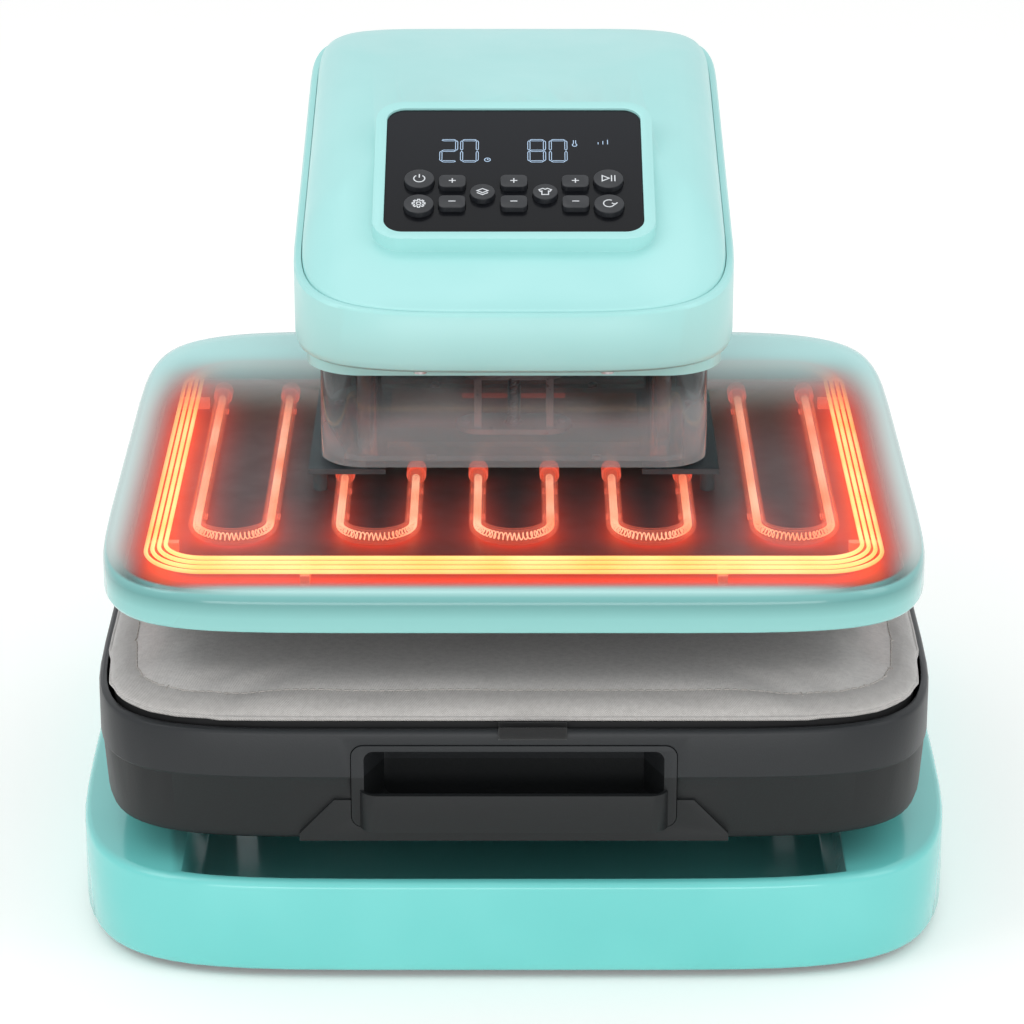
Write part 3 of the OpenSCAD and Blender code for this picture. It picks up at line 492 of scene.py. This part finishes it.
class PanelFrame:
    """The tilted plane of the control panel: across, up the slope, and out of it."""

    def __init__(self, press_axis):
        self.out = -Vector(press_axis).normalized()
        self.across = Vector((1, 0, 0))
        self.up = self.out.cross(self.across).normalized()

    def spread(self, node):
        """A node's (low, high) along across, up and out, in metres."""
        points = [v.co for v in NODES[node].data.vertices]
        along = [[p.dot(way) for p in points] for way in (self.across, self.up, self.out)]
        return [(min(values), max(values)) for values in along]

    def centre(self, node):
        """The middle of a node's outer face, as a world point."""
        (x0, x1), (y0, y1), (_, top) = self.spread(node)
        return self.across * (x0 + x1) / 2 + self.up * (y0 + y1) / 2 + self.out * top

    def mark(self, name, origin, strokes, width, lift, height):
        """Strokes in mm about an origin, lifted lift off it, as one piece."""
        points, faces = [], []
        for line, closed in strokes:
            more, sides = stroke_faces(line, width, height, closed)
            base = len(points)
            points += [origin + MM * (self.across * x + self.up * y + self.out * (z + lift))
                       for x, y, z in more]
            faces += [tuple(base + i for i in face) for face in sides]
        piece = mesh_piece(name, points, faces, smooth=False)
        work = bmesh.new()
        work.from_mesh(piece.data)
        bmesh.ops.recalc_face_normals(work, faces=work.faces)
        work.to_mesh(piece.data)
        work.free()
        return piece


def gear_mark():
    teeth = 8
    line = []
    for i in range(teeth):
        for share, radius in ((-0.32, 2.5), (-0.2, 3.5), (0.2, 3.5), (0.32, 2.5)):
            turn = math.tau * (i + share) / teeth
            line.append((radius * math.cos(turn), radius * math.sin(turn)))
    return [(line, True), (ring(0, 0, 1.2, 16), True)]


def button_marks():
    """Each control's mark, as (points, closed) strokes in mm about the middle of its top."""
    plus = [([(-1.9, 0), (1.9, 0)], False), ([(0, 0.35), (0, 1.9)], False), ([(0, -0.35), (0, -1.9)], False)]
    minus = [([(-1.9, 0), (1.9, 0)], False)]
    film = [([(-3, 0.6), (0, 2.4), (3, 0.6), (0, -1.2)], True), ([(-3, -1.1), (0, -2.9), (3, -1.1)], False)]
    shirt = [([(-1.2, 2.6), (-3.4, 1.4), (-2.6, -0.1), (-1.8, 0.3), (-1.8, -2.8), (1.8, -2.8), (1.8, 0.3),
               (2.6, -0.1), (3.4, 1.4), (1.2, 2.6), (0, 1.7)], True)]
    marks = {
        "power": [(arc(0, -0.2, 3, 125, 415), False), ([(0, 0.6), (0, 3.6)], False)],
        "settings": gear_mark(),
        "start": [([(-3.4, 2.4), (-3.4, -2.4), (0.4, 0)], True), ([(1.7, 2.6), (1.7, -2.6)], False),
                  ([(3.5, 2.6), (3.5, -2.6)], False)],
        "auto": [(arc(0, 0, 3, 60, 360), False), ([(1.5, 0.4), (3.1, -1.0), (4.5, 0.7)], False)],
        "vinyl_preset": film, "transfer_preset": shirt}
    for name in ("time", "heat", "pressure"):
        marks[name + "_plus"] = plus
        marks[name + "_minus"] = minus
    return marks


def digit_strokes(x, y, digit, width=8.6, height=19.0, gap=0.55):
    """The lit bars of one seven-bar digit, each drawn as a thin outline, centred on (x, y)."""
    lit = {"0": "abcdef", "2": "abdeg", "8": "abcdefg"}[digit]
    half = height / 2
    bars = {"a": (0, half, True), "g": (0, 0, True), "d": (0, -half, True),
            "f": (-width / 2, half / 2, False), "b": (width / 2, half / 2, False),
            "e": (-width / 2, -half / 2, False), "c": (width / 2, -half / 2, False)}
    strokes = []
    for bar in lit:
        bx, by, flat = bars[bar]
        length = (width if flat else half) / 2 - gap
        nose, side = length - 0.8, 0.62
        outline = [(-length, 0), (-nose, side), (nose, side), (length, 0), (nose, -side), (-nose, -side)]
        turned = [(u, v) if flat else (v, u) for u, v in outline]
        strokes.append(([(x + bx + u, y + by + v) for u, v in turned], True))
    return strokes


def build_marks(lit, ink):
    """The display's digits and pictograms, and the mark on top of each button."""
    press = next(joint for joint in frame["joints"] if joint["name"] == "power_press")
    panel = PanelFrame(press["axis"])
    middle = panel.centre("control_panel")
    digits = []
    for x, digit in ((-35.8, "2"), (-24.4, "0"), (12.6, "8"), (24.4, "0")):
        digits += digit_strokes(x, 17.6, digit)
    finish_piece(panel.mark("display_digits", middle, digits, 0.34, 0.02, 0.1), lit, "base", "black_fascia")
    clock = [(ring(-14.5, 9.5, 1.6, 16), True), ([(-14.5, 10.4), (-14.5, 9.5), (-13.8, 9.5)], False)]
    heat = [([(32.9, 27), (32.9, 24.2)], False), (arc(33.5, 22.8, 1.25, 115, 425, 14), False),
            ([(34.1, 27), (34.1, 24.2)], False)]
    force = [([(46.5 + 2.6 * i, 23.4), (46.5 + 2.6 * i, 25.2 + 1.1 * i)], False) for i in range(3)]
    finish_piece(panel.mark("display_signs", middle, clock + heat + force, 0.4, 0.02, 0.1),
                 lit, "base", "black_fascia")
    for name, strokes in button_marks().items():
        cap = panel.centre(name + "_button")
        finish_piece(panel.mark(name + "_mark", cap, strokes, 0.62, 0.01, 0.12), ink, name, "button_plastic")


def build_buttons(material):
    for name in button_marks():
        cap = smooth_shell(name + "_button", name + "_cap", 0.7 * MM, angle=50)
        finish_piece(cap, material, name, "button_plastic", name + "_button")


# ---- Drive and heaters ----

def build_lead_screw(material):
    """The turning screw with its real four-start thread: 8 mm lead, 2 mm from crest to crest."""
    low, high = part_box("lead_screw")
    radius, depth, lead, starts = 4.0, 0.75, 8.0, 4
    around, step = 32, 0.4
    z0, z1 = low.z / MM, high.z / MM
    collars = ((z0, z0 + 2.5, 5.0), (z1 - 20.0, z1 - 16.3, 7.0))
    heights = [z0 + step * i for i in range(round((z1 - z0) / step) + 1)]
    heights[-1] = z1
    turns = [math.tau * i / around for i in range(around)]
    points, faces = [], []

    def add_turned(rings):
        """Joins rings of (radius, z) points, closed at both ends."""
        start = len(points)
        for ring_points in rings:
            points.extend((r * math.cos(turn), r * math.sin(turn), z)
                          for turn, (r, z) in zip(turns, ring_points))
        for k in range(start, len(points) - around, around):
            faces.extend((k + i, k + (i + 1) % around, k + around + (i + 1) % around, k + around + i)
                         for i in range(around))
        faces.append(tuple(reversed(range(start, start + around))))
        faces.append(tuple(range(len(points) - around, len(points))))

    def threaded(z, i):
        wave = abs(((z / lead - i / around) * starts) % 1 * 2 - 1)
        return radius if z > z1 - 16 else radius - depth * min(1, max(0, wave * 1.8 - 0.4))

    add_turned([[(threaded(z, i), z) for i in range(around)] for z in heights])
    for bottom, top, collar in collars:
        add_turned([[(r, z)] * around for r, z in ((collar - 0.4, bottom), (collar, bottom + 0.4),
                                                   (collar, top - 0.4), (collar - 0.4, top))])
    piece = mesh_piece("threaded_lead_screw", [Vector(p) * MM for p in points], faces)
    finish_piece(piece, material, "screw", "ground_steel", "lead_screw")


def new_tree(name, **inputs):
    """A Geometry Nodes tree with a Geometry input and output, and named number inputs."""
    tree = bpy.data.node_groups.new(name, "GeometryNodeTree")
    tree.interface.new_socket("Geometry", in_out="INPUT", socket_type="NodeSocketGeometry")
    tree.interface.new_socket("Geometry", in_out="OUTPUT", socket_type="NodeSocketGeometry")
    for key, value in inputs.items():
        kind = "NodeSocketInt" if isinstance(value, int) else "NodeSocketFloat"
        tree.interface.new_socket(key, in_out="INPUT", socket_type=kind).default_value = value
    return tree, tree.nodes.new("NodeGroupInput"), tree.nodes.new("NodeGroupOutput")


def grow(piece, tree, **values):
    """Runs a Geometry Nodes tree on a piece with the values given, and settles the result."""
    modifier = piece.modifiers.new(tree.name, "NODES")
    modifier.node_group = tree
    for item in tree.interface.items_tree:
        if item.in_out == "INPUT" and item.name in values:
            modifier[item.identifier] = values[item.name]
    return settle(piece)


def end_tree(tree, output, geometry, material):
    """Closes a tree with Realize Instances and Set Material."""
    real = add(tree, "GeometryNodeRealizeInstances", {"Geometry": geometry})
    painted = add(tree, "GeometryNodeSetMaterial", {"Geometry": real})
    painted.inputs["Material"].default_value = material
    tree.links.new(painted.outputs[0], output.inputs["Geometry"])


def path_piece(name, lines):
    """A curve object of straight-sided open lines, in metres."""
    curve = bpy.data.curves.new(name, "CURVE")
    curve.dimensions = "3D"
    for line in lines:
        spline = curve.splines.new("POLY")
        spline.points.add(len(line) - 1)
        for point, place in zip(spline.points, line):
            point.co = (*place, 1)
    return place_object(name, curve)


def coil_tree(material):
    """Winds a wire round each line: coil radius, rise of one turn, and the wire's own radius, in metres."""
    tree, given, output = new_tree("wound_wire", Coil=1.9 * MM, Rise=2.4 * MM, Wire=0.32 * MM)
    steps = 10
    spacing = add(tree, "ShaderNodeMath", {0: given.outputs["Rise"], 1: float(steps)}, operation="DIVIDE")
    even = add(tree, "GeometryNodeResampleCurve", {"Curve": given.outputs["Geometry"], "Length": spacing},
               mode="LENGTH")
    along = add(tree, "GeometryNodeSplineParameter").outputs["Length"]
    turns = add(tree, "ShaderNodeMath", {0: along, 1: given.outputs["Rise"]}, operation="DIVIDE")
    angle = add(tree, "ShaderNodeMath", {0: turns, 1: math.tau}, operation="MULTIPLY")
    cosine = add(tree, "ShaderNodeMath", {0: angle}, operation="COSINE")
    sine = add(tree, "ShaderNodeMath", {0: angle}, operation="SINE")
    tangent = add(tree, "GeometryNodeInputTangent")
    upward = (0.0, 0.0, 1.0)
    sideways = add(tree, "ShaderNodeVectorMath", {0: tangent, 1: upward}, operation="CROSS_PRODUCT")
    part_up = add(tree, "ShaderNodeVectorMath", {0: upward, "Scale": sine}, operation="SCALE")
    part_side = add(tree, "ShaderNodeVectorMath", {0: sideways, "Scale": cosine}, operation="SCALE")
    way = add(tree, "ShaderNodeVectorMath", {0: part_up, 1: part_side}, operation="ADD")
    offset = add(tree, "ShaderNodeVectorMath", {0: way, "Scale": given.outputs["Coil"]}, operation="SCALE")
    wound = add(tree, "GeometryNodeSetPosition", {"Geometry": even, "Offset": offset})
    profile = add(tree, "GeometryNodeCurvePrimitiveCircle", {"Resolution": 5,
                                                             "Radius": given.outputs["Wire"]})
    wire = add(tree, "GeometryNodeCurveToMesh", {"Curve": wound, "Profile Curve": profile, "Fill Caps": True})
    end_tree(tree, output, wire, material)
    return tree


def build_coils(tubes, height, material):
    """The wound heating wire inside each quartz tube."""
    lines = []
    for tube in tubes:
        x, bend, centre_y = tube["x"], tube["bend"], tube["front"] + tube["bend"]
        arc_points = [(x + bend * math.cos(t), centre_y - bend * math.sin(t), height)
                      for t in (math.pi * i / 24 for i in range(25))]
        back = tube["back"] - 4 * MM
        lines.append([(x + bend, back, height), *arc_points, (x - bend, back, height)])
    piece = grow(path_piece("heater_coils", lines), coil_tree(material))
    finish_piece(piece, material, "head", "hot_element", "heater_filaments")


def ball_tree(material):
    """Sets a row of steel balls along each line: their spacing and radius, in metres."""
    tree, given, output = new_tree("ball_row", Spacing=7 * MM, Radius=1.6 * MM)
    places = add(tree, "GeometryNodeCurveToPoints", {"Curve": given.outputs["Geometry"],
                                                     "Length": given.outputs["Spacing"]}, mode="LENGTH")
    ball = add(tree, "GeometryNodeMeshIcoSphere", {"Radius": given.outputs["Radius"], "Subdivisions": 2})
    round_ball = add(tree, "GeometryNodeSetShadeSmooth", {"Geometry": ball})
    row = add(tree, "GeometryNodeInstanceOnPoints", {"Points": places, "Instance": round_ball})
    end_tree(tree, output, row, material)
    return tree


# ---- Drawer, pad and tag ----

def build_runner_balls(material):
    """The steel balls between each fixed rail and the middle rail that runs in it."""
    low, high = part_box("middle_rails")
    lines = []
    for side in (-1, 1):
        for z in (low.z - 0.45 * MM, high.z + 0.45 * MM):
            x = side * (high.x - 4.5 * MM)
            lines.append([(x, low.y + 12 * MM, z), (x, high.y - 60 * MM, z)])
    piece = grow(path_piece("runner_balls", lines), ball_tree(material), Radius=0.5 * MM)
    finish_piece(piece, material, "runner", "zinc_plated_steel")


def build_pad(material):
    """The foam pad in its fitted cover: crowned, soft at its edges and flat where it lies on its board."""
    low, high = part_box("pad_cover")
    middle = (low + high) / 2
    pad = merged_copy("pad_cover", "twill_pad_cover")
    for vertex in pad.data.vertices:
        vertex.co.x = middle.x + (vertex.co.x - middle.x) * 0.993
        vertex.co.y = middle.y + (vertex.co.y - middle.y) * 0.993
        if vertex.co.z > middle.z:
            vertex.co.z -= 2.4 * MM
    remesh = pad.modifiers.new("even_mesh", "REMESH")
    remesh.mode = "VOXEL"
    remesh.voxel_size = 5 * MM
    settle(pad)
    start = [v.co.copy() for v in pad.data.vertices]
    held = pad.vertex_groups.new(name="held")
    for vertex in pad.data.vertices:
        if vertex.co.z < low.z + 3 * MM:
            held.add([vertex.index], 1.0, "REPLACE")
    cloth = pad.modifiers.new("cloth", "CLOTH")
    cloth.settings.quality = 4
    cloth.settings.use_pressure = True
    cloth.settings.uniform_pressure_force = 3.0
    cloth.settings.effector_weights.gravity = 0.0
    cloth.settings.vertex_group_mass = "held"
    for number in range(1, 21):
        bpy.context.scene.frame_set(number)
    settle(pad)
    bpy.context.scene.frame_set(1)
    for vertex, before in zip(pad.data.vertices, start):
        moved = vertex.co - before
        if moved.length > 2.6 * MM:
            moved *= 2.6 * MM / moved.length
        spot = before * 22
        ripple = noise.noise(Vector((spot.x, spot.y, spot.z * 0.3)))
        share = min(1, max(0, (before.z - low.z) / (6 * MM)))
        edge = max(abs(before.x - middle.x) / (high.x - middle.x),
                   abs(before.y - middle.y) / (high.y - middle.y))
        moved += Vector((0, 0, -1)) * (ripple + 0.5) * share * edge ** 3 * 1.1 * MM
        vertex.co = before + moved
        vertex.co.z = min(vertex.co.z, high.z)
    for vertex_group in list(pad.vertex_groups):
        pad.vertex_groups.remove(vertex_group)
    smoothing = pad.modifiers.new("even", "SMOOTH")
    smoothing.factor = 0.5
    smoothing.iterations = 2
    finer = pad.modifiers.new("finer", "SUBSURF")
    finer.levels = finer.render_levels = 1
    settle(pad)
    for polygon in pad.data.polygons:
        polygon.use_smooth = True
    mark_hem(pad)
    finish_piece(pad, material, "drawer", "twill_fabric", "pad_cover")
    return pad


def line_on_side(piece, height, proud, count=240):
    """A closed line round a piece's side at one height, proud metres off its surface."""
    tree = BVHTree.FromObject(piece, bpy.context.evaluated_depsgraph_get())
    low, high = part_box("pad_cover")
    middle = (low + high) / 2
    line = []
    for i in range(count):
        turn = math.tau * i / count
        way = Vector((math.cos(turn), math.sin(turn), 0))
        hit, normal, _, _ = tree.ray_cast(Vector((middle.x, middle.y, height)) + way * 0.6, -way)
        if hit:
            flat = Vector((normal.x, normal.y, 0)).normalized()
            line.append(hit + flat * proud)
    return line + line[:1]


def stitch_tree(material):
    """Sets stitches along each line: their spacing, length and thread radius, in metres."""
    tree, given, output = new_tree("stitch_row", Spacing=4.4 * MM, Length=3.2 * MM, Thread=0.35 * MM)
    places = add(tree, "GeometryNodeCurveToPoints", {"Curve": given.outputs["Geometry"],
                                                     "Length": given.outputs["Spacing"]}, mode="LENGTH")
    thread = add(tree, "GeometryNodeMeshCylinder", {"Vertices": 6, "Side Segments": 3, "Fill Segments": 1,
                                                    "Radius": given.outputs["Thread"],
                                                    "Depth": given.outputs["Length"]})
    row = add(tree, "GeometryNodeInstanceOnPoints", {"Points": places, "Instance": thread,
                                                     "Rotation": places.outputs["Rotation"]})
    end_tree(tree, output, row, material)
    return tree


def cord_tree(material):
    """Draws a round cord of one radius along each line."""
    tree, given, output = new_tree("edge_cord", Radius=1.0 * MM)
    profile = add(tree, "GeometryNodeCurvePrimitiveCircle", {"Resolution": 10,
                                                             "Radius": given.outputs["Radius"]})
    body = add(tree, "GeometryNodeCurveToMesh", {"Curve": given.outputs["Geometry"],
                                                 "Profile Curve": profile})
    smooth = add(tree, "GeometryNodeSetShadeSmooth", {"Geometry": body})
    end_tree(tree, output, smooth, material)
    return tree


def line_on_top(piece, inset, proud):
    """A closed line on a piece's upper face, inset metres from its edge in plan."""
    tree = BVHTree.FromObject(piece, bpy.context.evaluated_depsgraph_get())
    down = Vector((0, 0, -1))
    line = []
    for point in pad_edge(piece, inset):
        hit, normal, _, _ = tree.ray_cast(Vector((point.x, point.y, 1)), down)
        line.append(hit + normal * proud)
    return line


def pad_edge(pad, inset):
    low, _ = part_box("pad_cover")
    return line_on_side(pad, low.z + 4 * MM, -inset, 1200)


def mark_hem(pad):
    """Stores each vertex's distance from the cover's edge in plan, for the cloth's darker hem band, which is
    partly painted shade.
    """
    edge = pad_edge(pad, 0.0)
    tree = KDTree(len(edge))
    for i, point in enumerate(edge):
        tree.insert((point.x, point.y, 0), i)
    tree.balance()
    distance = pad.data.attributes.new("edge_distance", "FLOAT", "POINT")
    for i, vertex in enumerate(pad.data.vertices):
        distance.data[i].value = tree.find((vertex.co.x, vertex.co.y, 0))[2]


def build_pad_seams(pad, cloth, thread):
    """The hem stitching round the cover, and the bound edge that lies on the board."""
    low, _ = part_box("pad_cover")
    hem = line_on_top(pad, HEM, 0.1 * MM)
    stitches = grow(path_piece("hem_stitches", [hem]), stitch_tree(thread))
    finish_piece(stitches, thread, "drawer", "twill_fabric")
    edge = line_on_side(pad, low.z + 1.6 * MM, -0.2 * MM)
    binding = grow(path_piece("hem_binding", [edge]), cord_tree(cloth), Radius=1.25 * MM)
    finish_piece(binding, cloth, "drawer", "twill_fabric")


def build_tag(material):
    """A blank woven label, folded double and sewn into the hem."""
    low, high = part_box("fabric_tag")
    thick = 0.35 * MM
    bend = (high.y - low.y - thick) / 2
    front, foot, top = low.y + thick / 2, low.z + bend + thick / 2, high.z
    profile = [(front, top - (top - foot) * i / 6) for i in range(7)]
    profile += [(front + bend - bend * math.cos(t), foot - bend * math.sin(t))
                for t in (math.pi * i / 8 for i in range(1, 8))]
    profile += [(front + 2 * bend, foot + (top - foot) * i / 6) for i in range(7)]
    columns = 24
    width = high.x - low.x
    points = [(low.x + width * c / columns, y, z) for c in range(columns + 1) for y, z in profile]
    rows = len(profile)
    faces = [(c * rows + r, c * rows + r + 1, (c + 1) * rows + r + 1, (c + 1) * rows + r)
             for c in range(columns) for r in range(rows - 1)]
    tag = mesh_piece("woven_tag", points, faces)
    cloth = tag.modifiers.new("cloth_thickness", "SOLIDIFY")
    cloth.thickness = thick
    cloth.offset = 0.0
    settle(tag)
    finish_piece(tag, material, "drawer", "woven_tag", "fabric_tag")


# ---- Stage ----

def build_stage():
    scene = bpy.context.scene
    scene.view_settings.view_transform = "Standard"
    lens = bpy.data.cameras.new("view")
    lens.lens = 140.6
    lens.sensor_width = 36.0
    camera = place_object("view", lens)
    camera.location = (-0.001, -2.107, 0.959)
    camera.rotation_euler = (math.radians(90 - 20.7), 0, 0)
    scene.camera = camera
    size = 12.0
    floor = mesh_piece("floor", [(-size, -size, 0), (size, -size, 0), (size, size, 0), (-size, size, 0)],
                       [(0, 1, 2, 3)], smooth=False)
    paper, *_ = start_material("pale_studio_floor", "#FBFAF7", Roughness=0.7, Specular_IOR_Level=0.2,
                               Emission_Color=srgb("#FFFFFF"), Emission_Strength=0.14)
    floor.data.materials.append(paper)
    world = bpy.data.worlds.new("studio")
    world.use_nodes = True
    sky = world.node_tree.nodes["Background"]
    sky.inputs["Color"].default_value = srgb("#FBFDFF")
    sky.inputs["Strength"].default_value = 0.84
    scene.world = world
    for name, spot, wide, deep, power in (("key_softbox", (-1.7, -0.9, 2.1), 1.2, 1.6, 10),
                                          ("fill_softbox", (1.9, -1.0, 1.5), 1.0, 1.6, 6),
                                          ("top_softbox", (0.0, 0.2, 2.4), 1.6, 0.8, 5),
                                          ("low_front_softbox", (0.0, -2.9, 0.45), 2.6, 0.6, 14)):
        light = bpy.data.lights.new(name, "AREA")
        light.shape = "RECTANGLE"
        light.size, light.size_y, light.energy = wide, deep, power
        lamp = place_object(name, light)
        lamp.location = spot
        lamp.rotation_euler = (Vector((0, 0, 0.15)) - Vector(spot)).to_track_quat("-Z", "Y").to_euler()


# ---- The press ----

def heater_layout():
    """The heaters' plan, from their CAD nodes: each tube's line, and the loop's."""
    low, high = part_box("heater_tubes")
    reach = 4.5 * MM
    bend = 19.5 * MM
    tubes = []
    for x, back in ((-149, 86), (-73, -46), (0, -46), (73, -46), (149, 86)):
        tubes.append({"x": x * MM, "bend": bend, "front": low.y + reach, "back": back * MM})
    low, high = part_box("perimeter_heater")
    loop = {"half": ((high.x - low.x) / 2 - 6.4 * MM, (high.y - low.y) / 2 - 6.4 * MM), "corner": 27 * MM,
            "middle": (low.y + high.y) / 2}
    return tubes, loop


def paint_slots(finishes):
    """Gives every CAD node the finish of its slot in the record."""
    for part in frame["record"]["subparts"]:
        materials = NODES[part["node"]].data.materials
        materials.clear()
        materials.append(finishes[part["material_slot"]])


def build_press():
    tubes, loop = heater_layout()
    tube_low, tube_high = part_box("heater_tubes")
    _, drawer_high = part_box("drawer_tray")
    mint = moulded_plastic("satin_moulded_abs", "#A9E0DD", "#A3DCD9", 0.8, 0.02, Roughness=0.34,
                           Coat_Weight=0.15, Coat_Roughness=0.25)
    gloss = moulded_plastic("gloss_moulded_abs", "#72D0CB", "#6ACAC5", 1.2, 0.008, Roughness=0.2,
                            Coat_Weight=0.4, Coat_Roughness=0.08)
    wire = hot_wire("glowing_resistance_wire", "#FFB863", "#FFD590", 1.2)
    coil = hot_wire("glowing_wound_wire", "#FF9468", "#FFD0AC", 1.2)
    # 3E3B38 is the hem band's colour, partly painted shade along the pad's edge.
    fabric = twill("warm_grey_cotton_twill", "#F0ECE8", "#C9C5C1", "#3E3B38", 1.3, 0.12)
    tag = twill("black_woven_polyester", "#161617", "#0A0A0B", "#0A0A0B", 0.7, 0.05)
    buttons = moulded_plastic("satin_black_keycap_abs", "#232529", "#1F2125", 0.5, 0.01, Roughness=0.34)
    steel = metal("ground_steel", "#C9CCCE", 0.18, (0.4, 0.4, 30))
    finishes = {
        "pod_mint": mint, "column_mint": mint, "base_mint": gloss, "head_mint": cover_plastic(loop),
        "charcoal_plastic": drawer_plastic(drawer_high.z - 25.5 * MM),
        "black_fascia": black_glass(), "button_plastic": buttons,
        "black_plastic": plain_material("moulded_black_nylon", "#1D1D1F", 0.9, 0.03, Roughness=0.5),
        "dark_painted_steel": plain_material("powder_coated_steel", "#4A4E52", 0.6, 0.05, Roughness=0.55),
        "zinc_plated_steel": metal("zinc_plated_steel", "#C6CACD", 0.34, (3, 3, 3), 0.004),
        "ground_steel": steel, "bronze": metal("turned_bronze", "#C49B55", 0.3, (8, 8, 0.3)),
        "motor_metal": metal("cast_aluminium", "#A5A9AC", 0.42, (0.8, 0.8, 0.8), 0.04),
        "coated_aluminium": plain_material("nonstick_coated_aluminium", "#3A3B3D", 0.5, 0.02,
                                           Metallic=0.6, Roughness=0.4),
        "black_oxide_steel": shield_with_painted_glow(tubes, loop),
        "ceramic_fibre": plain_material("pressed_ceramic_fibre", "#DDD8CC", 1.5, 0.2, Roughness=0.95),
        # Painted glow: the steatite, white in itself, gets a pinkish base colour and a red emission standing in
        # for the heaters' light on it.
        "white_ceramic": plain_material("steatite_painted_glow", "#C79B88", 0.7, 0.04, Roughness=0.6,
                                        Emission_Color=srgb("#FF4A26"), Emission_Strength=0.6),
        "quartz_glass": quartz_with_painted_glow(), "hot_element": wire,
        "smoked_polycarbonate": smoked_polycarbonate(),
        "foot_rubber": plain_material("moulded_rubber", "#1B1B1C", 1.0, 0.05, Roughness=0.85),
        "circuit_board": plain_material("green_solder_mask", "#1E6B43", 2.5, 0.03, Roughness=0.3),
        "pad_board_black": plain_material("pressed_black_fibreboard", "#1C1C1D", 1.2, 0.06, Roughness=0.8),
        "twill_fabric": fabric, "woven_tag": tag}
    paint_slots(finishes)
    shells = (("pod_lower_shell", "base", "pod_mint", 1.2), ("pod_top_cover", "base", "pod_mint", 1.5),
              ("head_cover", "head", "head_mint", 0.6), ("base_shell", "base", "base_mint", 1.6),
              ("drawer_tray", "drawer", "charcoal_plastic", 1.2),
              ("drawer_handle", "drawer", "charcoal_plastic", 1.4))
    for node, body, slot, edge in shells:
        finish_piece(smooth_shell(node, node + "_moulding", edge * MM), finishes[slot], body, slot, node)
    build_lead_screw(steel)
    build_coils(tubes, (tube_low.z + tube_high.z) / 2, coil)
    build_runner_balls(steel)
    build_buttons(buttons)
    lit = plain_material("lit_display_segment", "#9FB4C9", 1.0, 0.0, Roughness=0.4,
                         Emission_Color=srgb("#9DB8D6"), Emission_Strength=0.55)
    build_marks(lit, plain_material("white_pad_print", "#DADDE0", 0.6, 0.01, Roughness=0.6))
    pad = build_pad(fabric)
    build_pad_seams(pad, fabric, plain_material("spun_polyester_thread", "#B5B0AA", 0.3, 0.03, Roughness=0.8))
    build_tag(tag)


build_stage()
build_press()
